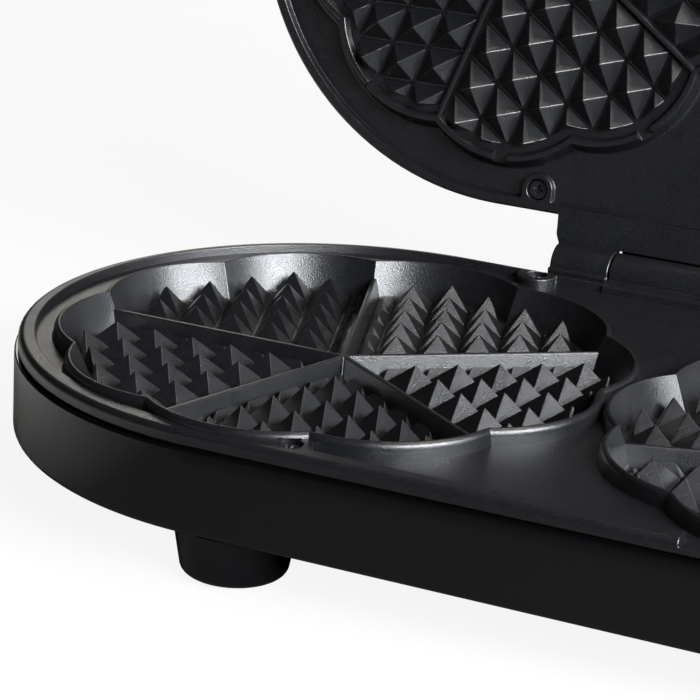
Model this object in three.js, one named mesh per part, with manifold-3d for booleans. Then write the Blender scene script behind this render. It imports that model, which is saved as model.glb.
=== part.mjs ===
// A double waffle maker, standing open: two cast cooking plates with heart rosettes,
// the lower one in a base on four feet, the upper one in a lid that swings on a rear hinge.
// Millimetres. X runs along the two plates, the hinge lies at +Y, +Z is up.
// The origin is on the table, under the middle of the open machine.
import * as THREE from 'three';
import { mergeVertices } from 'three/addons/utils/BufferGeometryUtils.js';
import Module from 'manifold-3d';

const kernel = await Module();
kernel.setup();

// Fits and allowances
const fit = 0.3; // running clearance between neighbours
const overrun = 4; // how far a cutting tool passes a face
const weld = 1e-4; // points closer than this are one point

// Rosette of each plate: ten round lobes, two to each of five hearts
const lobeCount = 10;
const heartCount = 5;
const lobeSteps = 6;
const fieldSteps = 3;
const cuspRadius = 75; // hub to the points between lobes, at the rim
const lobeRadius = 35.2; // arc of one lobe, at the rim
const plateSpacing = 160.5; // hub to hub
const plateForward = 6.75; // hubs lie this far in front of the base's centre line
const plateTurns = [0, 18]; // degrees that each rosette is turned
const dividerTurn = 36; // degrees from a rosette's zero to its first divider
const heartTurn = 72; // degrees from divider to divider

// Lower plate
const rimWall = 1.8; // thickness of a cup's rim
const rimRise = 5.3; // rim above the trough
const rimFlare = 1.2; // root of the rim, outside
const cupDepth = 10.75; // rim to cup floor
const cupDraft = 0.364; // inward slope of a cup's wall
const castWall = 3; // thickness of the castings
const troughDepth = 2.8; // ledge down to trough
const flangeHeight = 3.5; // side of the ledge that shows
const ledgeWidth = 4.9; // round the ends
const troughShift = 1.6; // the trough sits a little to the rear
const troughStretch = 0.6; // and is a little longer than the outline
const plateMargin = 9.4; // cup reach to the plate's edge
const endStretch = 3.3; // end circle's centre beyond the hub
const edgeChamfer = 0.7;
const ledgeRound = 1.2; // outer edge of the ledge
const notchStart = 45.8; // drip notch in the front ledge
const notchWidth = 30;
const notchDepth = 2.2;
const webHalf = 13; // where the two cups' walls grow together
const webWidth = 3;
const webDrop = 1.2;
const panRadius = 78.2; // cups' underside

// Dividers between the hearts
const dividerTop = 0.7; // half widths
const dividerRoot = 1.25;
const dividerDrop = 4.95; // lower divider's top below the rim
const dividerReach = 74.2;

// Pyramids: their sides run along the two dividers of each heart
const pitch = 12.08;
const latticeOffset = 1.16;
const cellsAcross = 8;
const pyramidHeight = 4.9;
const fieldInset = 2.6; // bare band round the pyramids
const fieldRoot = 1; // how far the field is sunk in its plate

// Base housing and feet
const footHeight = 15.5;
const housingDepth = 23;
const housingLip = 1; // housing stands out past the plate
const housingWall = 2.2;
const housingFloor = 2.5;
const housingRound = 2;
const seam = 1; // shadow gap between housing and plate
const footX = 78.75;
const footY = 74.05;
const footTop = 16.6;
const footBottom = 14.6;
const footRound = 3;
const footLift = 0.8; // shell of the foot above the table
const padRadius = 10.5;
const padSeat = 1.8;
const ventCount = 5;
const ventPitch = 12;
const ventWidth = 3;
const ventLength = 38;
const glandX = 74;
const glandDrop = 12.5; // below the housing's rim
const glandNeck = 5.2;
const glandFlange = 7.5;
const glandBore = 3.6;
const glandLip = 1.5;

// Screws
const screwHead = 3;
const screwHeadHeight = 1.9;
const screwShank = 1.5;
const screwLength = 18;
const screwSink = 0.4;
const bossRadius = 4.2;
const ledgeBoss = 6;
const baseScrewX = 59.6;
const rearScrewInset = 4.55; // from the plate's edge
const frontScrewInset = 6.95;
const frontRightInset = 3.9;
const lidScrewX = 67.4;
const lidScrewInset = 6.45;
const lidBoss = 5;

// Hinge
const hingeStandOff = 7.35; // axis behind the housing's rear wall
const hingeRise = 1.1; // axis above the ledge
const barrelRadius = 6.3;
const pinRadius = 2.45;
const middleHalf = 38.8; // half length of the base's knuckle
const knuckleGap = 0.5;
const outerKnuckle = 18.7; // length of each of the lid's knuckles
const pinSetback = 0.4; // pin ends inside the bore
const openAngle = THREE.MathUtils.degToRad(99.07);
const heelReach = 14; // stop heel from the axis
const heelThick = 5.2;

// Upper plate, in its closed place
const lidMargin = 9.8; // cup reach to the lid's edge
const lidGap = 1; // lid's border over the ledge
const lidBorder = 3.6;
const recessDepth = 2.3; // border down to the recess
const platformRise = 2.6; // rosette platform over the recess
const beadRise = 1.95; // bead over the platform
const beadWidth = 2;
const beadDraft = 0.35;
const beadReach = 33.2; // arc of the bead's outer edge at its tip
const beadBreak = 4.5;
const lidApex = 5; // pyramids over the platform
const tongueOverhang = 2; // past the outer knuckles
const tongueReach = 5.65; // past the lid's straight rear edge
const tongueCorner = 3;

// Lid housing and handle
const lidLip = 0.6;
const lidWallHeight = 15;
const lidDraft = 0.8;
const crownRound = 12;
const crownInset = 34;
const crownRise = 1.4;
const handleHalf = 48;
const handleReach = 30;
const handleThick = 13;
const handleDrop = 2; // top of the handle below the lid's shoulder
const handleScrewX = 26;
const handleScrewDrop = 3.6; // below the top of the handle
const handleScrewLength = 12;
const lampX = 9;
const lampInset = 27; // from the front of the lid
const lampRadius = 2.7;
const lampFlange = 4;
const lampDome = 1.3;
const lampFlangeHeight = 1.2;
const holderHalf = 18;
const holderWidth = 12;
const holderThick = 1.6;
const holderPost = 2;
const neonRadius = 2;
const neonHeight = 7;

// Heating and control
const tubeRadius = 3.2;
const coilRadius = 50;
const coilGap = 46; // degrees left open where the ends come out
const dishMargin = 14.8; // reflector beyond the heating coil
const dishRim = 4;
const dishWall = 0.8;
const statRadius = 7;
const statNeck = 4.9;
const statHeight = 8.5;
const statStep = 3;
const statY = 45;
const fuseRadius = 2.4;
const fuseHalf = 13;
const fuseY = 38;
const blockLength = 40;
const blockWidth = 16;
const blockHeight = 12;
const blockY = 62;
const blockPorts = 3;
const blockPort = 2.2;

// Counts of facets
const endSteps = 20;
const coarseSteps = 20;
const barrelSteps = 24;
const screwSteps = 10;
const smallSteps = 14;
const crownSteps = 3;
const coilSteps = 18;
const coilSides = 5;

// Levels, from the table up
const housingBase = footHeight;
const housingRim = housingBase + housingDepth;
const flangeUnder = housingRim + seam;
const ledgeTop = flangeUnder + flangeHeight;
const troughTop = ledgeTop - troughDepth;
const troughUnder = troughTop - castWall;
const rimTop = troughTop + rimRise;
const cupFloor = rimTop - cupDepth;
const panUnder = cupFloor - castWall;
const dishRadius = coilRadius + tubeRadius + dishMargin;
const lidEdge = ledgeTop + lidGap;
const recess = lidEdge + recessDepth;
const platform = recess - platformRise;
const beadTip = platform - beadRise;
const slabBack = recess + castWall;
const lidFlangeTop = lidEdge + flangeHeight;
const lidRim = lidFlangeTop + seam;
const lidShoulder = lidRim + lidWallHeight;
const crownTop = lidShoulder + crownRound + crownRise;
const handleTop = lidShoulder - handleDrop;
const handleScrewZ = handleTop - handleScrewDrop;

// Places worked out from the driving sizes
const halfLobe = Math.PI / lobeCount;
const hubX = plateSpacing / 2;
const hubY = -plateForward;
const halfCusp = cuspRadius * Math.sin(halfLobe);
const lobeOffset = cuspRadius * Math.cos(halfLobe) - Math.sqrt(lobeRadius ** 2 - halfCusp ** 2);
const cupReach = lobeOffset + lobeRadius + rimWall;
const baseOutline = { radius: cupReach + plateMargin, endX: hubX + endStretch, y: 0 };
const lidOutline = { radius: cupReach + lidMargin, endX: hubX, y: hubY };
const troughOutline = {
  radius: baseOutline.radius - ledgeWidth,
  endX: baseOutline.endX + troughStretch,
  y: troughShift,
};
const housingRadius = baseOutline.radius + housingLip;
const lidHousingRadius = lidOutline.radius + lidLip;
const spigotRadius = housingRadius - housingWall - fit;
const hingeHalf = middleHalf + knuckleGap + outerKnuckle;
const tongueHalf = hingeHalf + tongueOverhang;
const hingeY = housingRadius + hingeStandOff;
const hingeZ = ledgeTop + hingeRise;
const lidFront = lidOutline.y - lidHousingRadius;
const handleRoot = lidFront - fit;
const lampY = lidFront + lampInset;
const crownSlope = crownRise / (crownInset - crownRound + housingWall);
const lampRun = lampInset - lampFlange - lidDraft - crownRound; // the crown's slope, up to the lamps
const lampSeat = lidShoulder + crownRound - housingWall - fit + crownSlope * lampRun;
const holderTop = lampSeat - lampFlangeHeight - 3 * fit - neonHeight;
const hubs = [-hubX, hubX].map((x, k) => ({
  x,
  y: hubY,
  turn: THREE.MathUtils.degToRad(plateTurns[k]),
}));
const baseScrews = [
  [-baseScrewX, baseOutline.radius - rearScrewInset],
  [baseScrewX, baseOutline.radius - rearScrewInset],
  [-baseScrewX, frontScrewInset - baseOutline.radius],
  [hubX, frontRightInset - baseOutline.radius],
];
const lidScrews = [-1, 1].flatMap((rear) => [-1, 1].map((side) => [
  side * lidScrewX,
  hubY + rear * (lidOutline.radius - lidScrewInset),
]));

// Finishes
const castFinish = { color: 0x26272b, roughness: 0.55, metalness: 0.35 };
const glossFinish = { color: 0x0b0b0e, roughness: 0.12, metalness: 0 };
const rubberFinish = { color: 0x101010, roughness: 0.9, metalness: 0 };
const steelFinish = { color: 0xa9acb0, roughness: 0.35, metalness: 1 };
const blackSteelFinish = { color: 0x1a1a1c, roughness: 0.4, metalness: 1 };
const tinFinish = { color: 0xc4c6c8, roughness: 0.3, metalness: 1 };
const ceramicFinish = { color: 0xe6e1d4, roughness: 0.6, metalness: 0 };
const phenolicFinish = { color: 0x2a2018, roughness: 0.5, metalness: 0 };
const redLensFinish = { color: 0xb01810, roughness: 0.15, metalness: 0 };
const greenLensFinish = { color: 0x1f8a3a, roughness: 0.15, metalness: 0 };
const boardFinish = { color: 0x9a8a5c, roughness: 0.6, metalness: 0 };

// Outlines
function stadium({ radius, endX, y }, z, steps = endSteps) {
  const points = [];
  for (const side of [1, -1]) {
    for (let i = 0; i <= steps; i += 1) {
      const angle = (i / steps - 0.5) * Math.PI;
      points.push(new THREE.Vector3(
        side * (endX + radius * Math.cos(angle)),
        y + side * radius * Math.sin(angle),
        z,
      ));
    }
  }
  return points;
}

function rosette(hub, arc, z, steps = lobeSteps) {
  const points = [];
  const aside = lobeOffset * Math.sin(halfLobe);
  const tip = lobeOffset * Math.cos(halfLobe) + Math.sqrt(arc ** 2 - aside ** 2);
  const reach = Math.atan2(tip * Math.sin(halfLobe), tip * Math.cos(halfLobe) - lobeOffset);
  for (let lobe = 0; lobe < lobeCount; lobe += 1) {
    const axis = hub.turn + (2 * lobe + 1) * halfLobe;
    for (let i = 0; i < steps; i += 1) {
      const angle = axis + (2 * i / steps - 1) * reach;
      points.push(new THREE.Vector3(
        hub.x + lobeOffset * Math.cos(axis) + arc * Math.cos(angle),
        hub.y + lobeOffset * Math.sin(axis) + arc * Math.sin(angle),
        z,
      ));
    }
  }
  return points;
}

// Skin between outlines with equal counts of points, without ends
function skin(rings) {
  const count = rings[0].length;
  const top = (rings.length - 1) * count;
  const faces = [];
  for (let i = 0; i < count; i += 1) {
    const next = (i + 1) % count;
    for (let row = 0; row < top; row += count) {
      faces.push(row + i, row + next, row + count + next);
      faces.push(row + i, row + count + next, row + count + i);
    }
  }
  return { points: rings.flat(), faces, count, top };
}

function shape3(points, faces) {
  const geometry = new THREE.BufferGeometry().setFromPoints(points);
  geometry.setIndex(faces);
  return geometry;
}

// Closed body through a stack of outlines, with a fan from the middle at each end
function loft(rings) {
  const { points, faces, count, top } = skin(rings);
  const middle = (ring) => ring.reduce((sum, p) => sum.add(p), new THREE.Vector3()).divideScalar(count);
  const first = points.push(middle(rings[0])) - 1;
  const last = points.push(middle(rings[rings.length - 1])) - 1;
  for (let i = 0; i < count; i += 1) {
    const next = (i + 1) % count;
    faces.push(first, next, i, last, top + i, top + next);
  }
  return shape3(points, faces);
}

// Solids
function solid(geometry) {
  const bare = geometry.clone();
  bare.deleteAttribute('normal');
  bare.deleteAttribute('uv');
  const merged = mergeVertices(bare, weld);
  const mesh = new kernel.Mesh({
    numProp: 3,
    vertProperties: Float32Array.from(merged.attributes.position.array),
    triVerts: Uint32Array.from(merged.index.array),
  });
  return new kernel.Manifold(mesh);
}

function surface(body) {
  const mesh = body.getMesh();
  const geometry = new THREE.BufferGeometry();
  geometry.setAttribute('position', new THREE.BufferAttribute(mesh.vertProperties, 3));
  geometry.setIndex(new THREE.BufferAttribute(mesh.triVerts, 1));
  return geometry;
}

function join(bodies) {
  return bodies.reduce((whole, body) => whole.add(body));
}

function block([x0, x1], [y0, y1], [z0, z1]) {
  const geometry = new THREE.BoxGeometry(x1 - x0, y1 - y0, z1 - z0);
  return solid(geometry.translate((x0 + x1) / 2, (y0 + y1) / 2, (z0 + z1) / 2));
}

function column(x, y, [z0, z1], radius, steps = coarseSteps) {
  const geometry = new THREE.CylinderGeometry(radius, radius, z1 - z0, steps);
  return solid(geometry.rotateX(Math.PI / 2).translate(x, y, (z0 + z1) / 2));
}

function rodX([x0, x1], radius, steps = barrelSteps) {
  const geometry = new THREE.CylinderGeometry(radius, radius, x1 - x0, steps);
  return solid(geometry.rotateZ(Math.PI / 2).translate((x0 + x1) / 2, hingeY, hingeZ));
}

// A turned piece standing on its axis: profile points are [radius, height]
function turned(profile, steps) {
  const points = profile.map(([radius, height]) => new THREE.Vector2(radius, height));
  return new THREE.LatheGeometry(points, steps).rotateX(Math.PI / 2);
}

function pinBore() {
  return rodX([-hingeHalf - overrun, hingeHalf + overrun], pinRadius + fit, smallSteps);
}

// Dividers: five tapered ribs from the hub, level `tip` at the top and `root` at the foot
function dividers(hub, tip, root) {
  const up = Math.sign(tip - root);
  const profile = new THREE.Shape([
    new THREE.Vector2(-dividerRoot, root - up * fieldRoot),
    new THREE.Vector2(dividerRoot, root - up * fieldRoot),
    new THREE.Vector2(dividerRoot, root),
    new THREE.Vector2(dividerTop, tip),
    new THREE.Vector2(-dividerTop, tip),
    new THREE.Vector2(-dividerRoot, root),
  ]);
  const ribs = [];
  for (let k = 0; k < heartCount; k += 1) {
    const angle = hub.turn + THREE.MathUtils.degToRad(dividerTurn + k * heartTurn);
    const rib = new THREE.ExtrudeGeometry(profile, { depth: dividerReach, bevelEnabled: false });
    rib.rotateX(Math.PI / 2).rotateZ(angle + Math.PI / 2).translate(hub.x, hub.y, 0);
    ribs.push(solid(rib));
  }
  return join(ribs);
}

// Whether a place given from the hub lies inside a rosette
function insideRosette(x, y, turn, arc) {
  const lobe = Math.floor((Math.atan2(y, x) - turn) / (2 * halfLobe));
  const axis = turn + (2 * lobe + 1) * halfLobe;
  return Math.hypot(x - lobeOffset * Math.cos(axis), y - lobeOffset * Math.sin(axis)) < arc;
}

// One heart's pyramids, on a lattice whose two directions follow the heart's dividers.
// The body runs from the pyramids' feet back to `root`; `start` shifts the first foot.
// A cell whose apex would lie outside the rosette of radius `arc` stays flat.
function pyramids(hub, heart, { start, foot, apex, root, arc }) {
  const first = hub.turn + THREE.MathUtils.degToRad(dividerTurn + heart * heartTurn);
  const second = hub.turn + THREE.MathUtils.degToRad(dividerTurn + (heart + 1) * heartTurn);
  const place = (u, v, z) => new THREE.Vector3(
    hub.x + u * Math.cos(first) + v * Math.cos(second),
    hub.y + u * Math.sin(first) + v * Math.sin(second),
    z,
  );
  const step = (k) => start + (k - 1) * pitch;
  const points = [];
  for (let j = 0; j <= cellsAcross; j += 1) {
    for (let i = 0; i <= cellsAcross; i += 1) {
      points.push(place(step(i), step(j), foot));
    }
  }
  const peaks = points.length;
  const flat = [];
  for (let j = 0; j < cellsAcross; j += 1) {
    for (let i = 0; i < cellsAcross; i += 1) {
      const peak = place(step(i + 0.5), step(j + 0.5), apex);
      const inHeart = step(i + 0.5) > 0 && step(j + 0.5) > 0;
      flat.push(!inHeart || !insideRosette(peak.x - hub.x, peak.y - hub.y, hub.turn, arc));
      points.push(peak);
    }
  }
  const back = points.length;
  const far = cellsAcross;
  for (const [i, j] of [[0, 0], [far, 0], [far, far], [0, far]]) {
    points.push(place(step(i), step(j), root));
  }
  const node = (i, j) => j * (cellsAcross + 1) + i;
  const faces = [];
  for (let j = 0; j < cellsAcross; j += 1) {
    for (let i = 0; i < cellsAcross; i += 1) {
      const ring = [node(i, j), node(i + 1, j), node(i + 1, j + 1), node(i, j + 1)];
      const cell = j * cellsAcross + i;
      if (flat[cell]) {
        faces.push(ring[0], ring[1], ring[2], ring[0], ring[2], ring[3]);
      } else {
        ring.forEach((corner, k) => faces.push(corner, ring[(k + 1) % ring.length], peaks + cell));
      }
    }
  }
  const edges = [
    (k) => node(k, 0), (k) => node(far, k), (k) => node(far - k, far), (k) => node(0, far - k),
  ];
  edges.forEach((edge, side) => {
    const nextCorner = back + (side + 1) % edges.length;
    faces.push(back + side, nextCorner, edge(far));
    for (let k = 0; k < far; k += 1) {
      faces.push(back + side, edge(k + 1), edge(k));
    }
  });
  faces.push(back, back + 2, back + 1, back, back + 3, back + 2);
  if (apex < foot) {
    faces.reverse();
  }
  const geometry = new THREE.BufferGeometry().setFromPoints(points);
  geometry.setIndex(faces);
  const reach = 2 * cuspRadius;
  const wedge = (z) => [place(0, 0, z), place(reach, 0, z), place(0, reach, z)];
  const low = Math.min(apex, root) - overrun;
  const high = Math.max(apex, root) + overrun;
  return solid(geometry).intersect(solid(loft([wedge(low), wedge(high)])));
}

function pyramidField(hub, field) {
  const { apex, root, arc } = field;
  const hearts = [];
  for (let k = 0; k < heartCount; k += 1) {
    hearts.push(pyramids(hub, k, field));
  }
  const low = Math.min(apex, root) - overrun;
  const high = Math.max(apex, root) + overrun;
  const outline = [low, high].map((z) => rosette(hub, arc, z, fieldSteps));
  return join(hearts).intersect(solid(loft(outline)));
}

// Arc of a cup's wall at a level
function cupArc(z) {
  return lobeRadius - (rimTop - z) * cupDraft;
}

// Lower plate
function cupOuter(hub) {
  const arc = lobeRadius + rimWall;
  return solid(loft([
    rosette(hub, arc + rimFlare, troughTop - castWall / 2),
    rosette(hub, arc + rimFlare, troughTop),
    rosette(hub, arc, rimTop),
  ]));
}

function cupInner(hub) {
  const high = rimTop + overrun;
  return solid(loft([rosette(hub, cupArc(cupFloor), cupFloor), rosette(hub, cupArc(high), high)]));
}

function screwHole(x, y, head, up, depth) {
  const seat = head - up * (screwHeadHeight + screwSink + fit);
  const sort = (a, b) => (a < b ? [a, b] : [b, a]);
  const wide = column(x, y, sort(head + up * overrun, seat), screwHead + fit, smallSteps);
  return wide.add(column(x, y, sort(head, head - up * depth), screwShank + fit, screwSteps));
}

function lowerPlate() {
  const inner = { ...baseOutline, radius: baseOutline.radius - ledgeRound };
  const shoulder = { ...baseOutline, radius: baseOutline.radius - ledgeRound * (1 - Math.SQRT1_2) };
  const below = { ...baseOutline, radius: spigotRadius };
  const ledge = solid(loft([
    stadium(baseOutline, flangeUnder),
    stadium(baseOutline, ledgeTop - ledgeRound),
    stadium(shoulder, ledgeTop - ledgeRound * (1 - Math.SQRT1_2)),
    stadium(inner, ledgeTop),
  ]));
  const neck = solid(loft([stadium(below, troughUnder), stadium(below, flangeUnder + overrun / 2)]));
  const bosses = baseScrews.map(([x, y]) => column(x, y, [troughUnder, ledgeTop], ledgeBoss));
  const trough = solid(loft([
    stadium(troughOutline, troughTop),
    stadium({ ...troughOutline, radius: troughOutline.radius + overrun / 5 }, ledgeTop + overrun),
  ])).subtract(join(bosses));
  const outerEdge = -baseOutline.radius - overrun;
  const notch = block(
    [notchStart, notchStart + notchWidth],
    [outerEdge, troughOutline.y - troughOutline.radius + overrun],
    [ledgeTop - notchDepth, ledgeTop + overrun],
  );
  const panLevels = [panUnder, troughTop - castWall / 2];
  const pans = hubs.map((hub) => column(hub.x, hub.y, panLevels, panRadius, 2 * coarseSteps));
  const web = block(
    [-webWidth, webWidth / 2],
    [hubY - webHalf, hubY + webHalf],
    [troughUnder, rimTop - webDrop],
  );
  const knuckle = rodX([-middleHalf, middleHalf], barrelRadius);
  const arm = block(
    [-middleHalf, middleHalf],
    [baseOutline.radius - overrun, hingeY - barrelRadius / 2],
    [flangeUnder, ledgeTop],
  );
  let plate = ledge.add(neck).subtract(trough).subtract(notch);
  plate = join([plate, ...pans, ...hubs.map(cupOuter), web]);
  for (const hub of hubs) {
    plate = plate.subtract(cupInner(hub)).add(dividers(hub, rimTop - dividerDrop, cupFloor));
    plate = plate.add(pyramidField(hub, {
      start: latticeOffset + pitch / 2,
      foot: cupFloor,
      apex: cupFloor + pyramidHeight,
      root: cupFloor - fieldRoot,
      arc: cupArc(cupFloor) - fieldInset,
    }));
  }
  plate = plate.add(knuckle).add(arm).subtract(pinBore());
  for (const [x, y] of baseScrews) {
    plate = plate.subtract(screwHole(x, y, ledgeTop, 1, screwLength));
  }
  return surface(plate);
}

// Upper plate, drawn closed, face down
function upperPlate() {
  const inside = { ...lidOutline, radius: lidOutline.radius - lidBorder };
  const lower = { ...lidOutline, radius: lidOutline.radius - edgeChamfer };
  const within = { ...lidOutline, radius: lidHousingRadius - housingWall - fit };
  const border = solid(loft([
    stadium(lower, lidEdge),
    stadium(lidOutline, lidEdge + edgeChamfer),
    stadium(lidOutline, lidFlangeTop),
  ]));
  const slab = solid(loft([stadium(within, lidFlangeTop - edgeChamfer), stadium(within, slabBack)]));
  const bosses = lidScrews.map(([x, y]) => column(x, y, [lidEdge - overrun, recess + overrun], lidBoss));
  const pocket = solid(loft([
    stadium({ ...inside, radius: inside.radius + recessDepth / 3 }, lidEdge - overrun / 2),
    stadium(inside, recess),
  ])).subtract(join(bosses));
  let plate = border.add(slab).subtract(pocket);
  for (const hub of hubs) {
    const grow = (z) => beadReach + (z - beadTip) * cupDraft;
    const raised = solid(loft([
      rosette(hub, grow(beadTip), beadTip),
      rosette(hub, grow(recess), recess + fieldRoot),
    ]));
    const inner = beadReach - beadWidth;
    const dish = solid(loft([
      rosette(hub, inner + overrun * beadDraft, beadTip - overrun),
      rosette(hub, inner - beadRise * beadDraft, platform),
    ]));
    plate = plate.add(raised).subtract(dish).subtract(beadBreaks(hub));
    plate = plate.add(dividers(hub, beadTip, platform).intersect(solid(loft([
      rosette(hub, inner + beadWidth / 2, beadTip - overrun),
      rosette(hub, inner + beadWidth / 2, recess + overrun),
    ]))));
    plate = plate.add(pyramidField(hub, {
      start: latticeOffset,
      foot: platform,
      apex: platform - lidApex,
      root: platform + fieldRoot,
      arc: inner - beadRise * beadDraft - fieldInset,
    }));
  }
  plate = plate.add(tongue()).add(lidKnuckles()).subtract(pinBore());
  for (const [x, y] of lidScrews) {
    plate = plate.subtract(screwHole(x, y, lidEdge, -1, screwLength));
  }
  return surface(plate);
}

function beadBreaks(hub) {
  const gaps = [];
  for (let lobe = 0; lobe < lobeCount; lobe += 1) {
    const angle = hub.turn + (2 * lobe + 1) * halfLobe;
    const middle = lobeOffset + beadReach - beadWidth;
    const gap = new THREE.BoxGeometry(4 * beadWidth, beadBreak, platform - beadTip + overrun);
    gap.translate(middle + beadWidth, 0, (platform + beadTip - overrun) / 2);
    gaps.push(solid(gap.rotateZ(angle).translate(hub.x, hub.y, 0)));
  }
  return join(gaps);
}

// Flat strip along the lid's rear edge, with round corners; its middle reaches the base's knuckle
function tongue() {
  const rear = lidOutline.y + lidOutline.radius + tongueReach;
  const front = lidOutline.y + lidOutline.radius - lidBorder / 2;
  const shape = new THREE.Shape();
  shape.moveTo(-tongueHalf, front);
  shape.lineTo(tongueHalf, front);
  shape.lineTo(tongueHalf, rear - tongueCorner);
  shape.absarc(tongueHalf - tongueCorner, rear - tongueCorner, tongueCorner, 0, Math.PI / 2);
  shape.lineTo(tongueCorner - tongueHalf, rear);
  shape.absarc(tongueCorner - tongueHalf, rear - tongueCorner, tongueCorner, Math.PI / 2, Math.PI);
  shape.closePath();
  const strip = new THREE.ExtrudeGeometry(shape, {
    depth: flangeHeight, bevelEnabled: false, curveSegments: crownSteps,
  });
  const middle = block(
    [-middleHalf - knuckleGap - fit, middleHalf + knuckleGap + fit],
    [front, hingeY - barrelRadius - knuckleGap],
    [lidEdge, lidFlangeTop],
  );
  return solid(strip.translate(0, 0, lidEdge)).add(middle);
}

// The lid's two outer knuckles, each with its arm and the heel that stops the open lid
function lidKnuckles() {
  const parts = [];
  for (const side of [-1, 1]) {
    const ends = [side * (middleHalf + knuckleGap), side * (middleHalf + knuckleGap + outerKnuckle)];
    const span = ends.sort((a, b) => a - b);
    parts.push(rodX(span, barrelRadius));
    parts.push(block(span, [lidOutline.y + lidOutline.radius, hingeY], [lidEdge, lidFlangeTop]));
    const heel = new THREE.BoxGeometry(span[1] - span[0], heelThick, heelReach);
    const stop = hingeStandOff - fit;
    heel.translate((span[0] + span[1]) / 2, heelThick / 2 - stop, -heelReach / 2);
    parts.push(solid(heel.rotateX(openAngle).translate(0, hingeY, hingeZ)));
  }
  return join(parts);
}

// Underside of the lower plate over a post: the pans reach lower than the trough
function plateUnder(x, y) {
  const overPost = hubs.some((hub) => Math.hypot(x - hub.x, y - hub.y) < panRadius + bossRadius);
  return overPost ? panUnder : troughUnder;
}

// Base housing: an open tub with posts for the plate's screws
function baseHousing() {
  const at = (inset, z) => stadium({ ...baseOutline, radius: housingRadius - inset }, z);
  const bend = housingRound * (1 - Math.SQRT1_2);
  const outer = solid(loft([
    at(housingRound, housingBase),
    at(bend, housingBase + bend),
    at(0, housingBase + housingRound),
    at(0, housingRim - edgeChamfer),
    at(edgeChamfer, housingRim),
  ]));
  const hollow = solid(loft([
    at(housingWall, housingBase + housingFloor),
    at(housingWall, housingRim + overrun),
  ]));
  const posts = baseScrews.map(([x, y]) => column(
    x,
    y,
    [housingBase + housingFloor / 2, plateUnder(x, y) - fit],
    bossRadius,
    screwSteps,
  ));
  const within = solid(loft([at(housingWall / 2, housingBase), at(housingWall / 2, housingRim)]));
  let tub = outer.subtract(hollow).add(join(posts).intersect(within));
  for (const [x, y] of baseScrews) {
    const hole = [ledgeTop - screwSink - screwLength - fit, troughUnder + overrun];
    tub = tub.subtract(column(x, y, hole, screwShank + fit, screwSteps));
  }
  tub = tub.subtract(ventSlots());
  const entry = new THREE.CylinderGeometry(glandNeck + fit, glandNeck + fit, 4 * housingWall, smallSteps);
  entry.translate(glandX, housingRadius, housingRim - glandDrop);
  return surface(tub.subtract(solid(entry)));
}

// Air slots in the floor, under each heater
function ventSlots() {
  const slots = [];
  for (const hub of hubs) {
    for (let k = 0; k < ventCount; k += 1) {
      const x = hub.x + (k - (ventCount - 1) / 2) * ventPitch;
      slots.push(block(
        [x - ventWidth / 2, x + ventWidth / 2],
        [hub.y - ventLength / 2, hub.y + ventLength / 2],
        [housingBase - overrun, housingBase + housingFloor + overrun / 2],
      ));
    }
  }
  return join(slots);
}

// Lid housing: a crowned shell over the upper plate, drawn closed
function lidShell(wall, floor, steps = crownSteps) {
  const at = (inset, z) => stadium({ ...lidOutline, radius: lidHousingRadius - wall - inset }, z);
  const bend = crownRound - wall;
  const rings = [at(0, floor)];
  for (let k = 0; k <= steps; k += 1) {
    const angle = k / steps * Math.PI / 2;
    rings.push(at(lidDraft + bend * (1 - Math.cos(angle)), lidShoulder + bend * Math.sin(angle)));
  }
  rings.push(at(lidDraft + crownInset, lidShoulder + bend + crownRise));
  return loft(rings);
}

function lidHousing() {
  let shell = solid(lidShell(0, lidRim)).subtract(solid(lidShell(housingWall, lidRim - overrun, 1)));
  const inside = solid(lidShell(housingWall / 2, lidRim));
  const roof = lidShoulder + crownRound;
  const posts = lidScrews.map(([x, y]) => column(x, y, [slabBack + fit, roof], bossRadius, screwSteps));
  const seats = [-1, 1].map((side) => column(
    side * (holderHalf - holderPost),
    lampY,
    [holderTop + fit, roof],
    holderPost,
    screwSteps,
  ));
  shell = shell.add(join([...posts, ...seats]).intersect(inside));
  for (const [x, y] of lidScrews) {
    const hole = [slabBack - overrun, lidEdge + screwSink + screwLength + fit];
    shell = shell.subtract(column(x, y, hole, screwShank + fit, screwSteps));
  }
  for (const side of [-1, 1]) {
    const window = [lidShoulder, crownTop + overrun];
    shell = shell.subtract(column(side * lampX, lampY, window, lampRadius + fit, smallSteps));
    const radius = screwShank + fit;
    const bore = new THREE.CylinderGeometry(radius, radius, 6 * housingWall, screwSteps);
    bore.translate(side * handleScrewX, lidFront + housingWall, handleScrewZ);
    shell = shell.subtract(solid(bore));
  }
  return surface(shell);
}

// Lip handle: one rounded section that swells from each end to the middle
const handleSectionShares = [
  [0, 1], [0.35, 0.98], [0.7, 0.9], [0.92, 0.78], [1, 0.6], [0.96, 0.42],
  [0.84, 0.4], [0.6, 0.52], [0.35, 0.46], [0.18, 0.2], [0.08, 0], [0, 0],
];
const handleStationShares = [-1, -0.92, -0.76, -0.45, 0, 0.45, 0.76, 0.92, 1];
const handleEndShare = 0.32;

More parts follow.
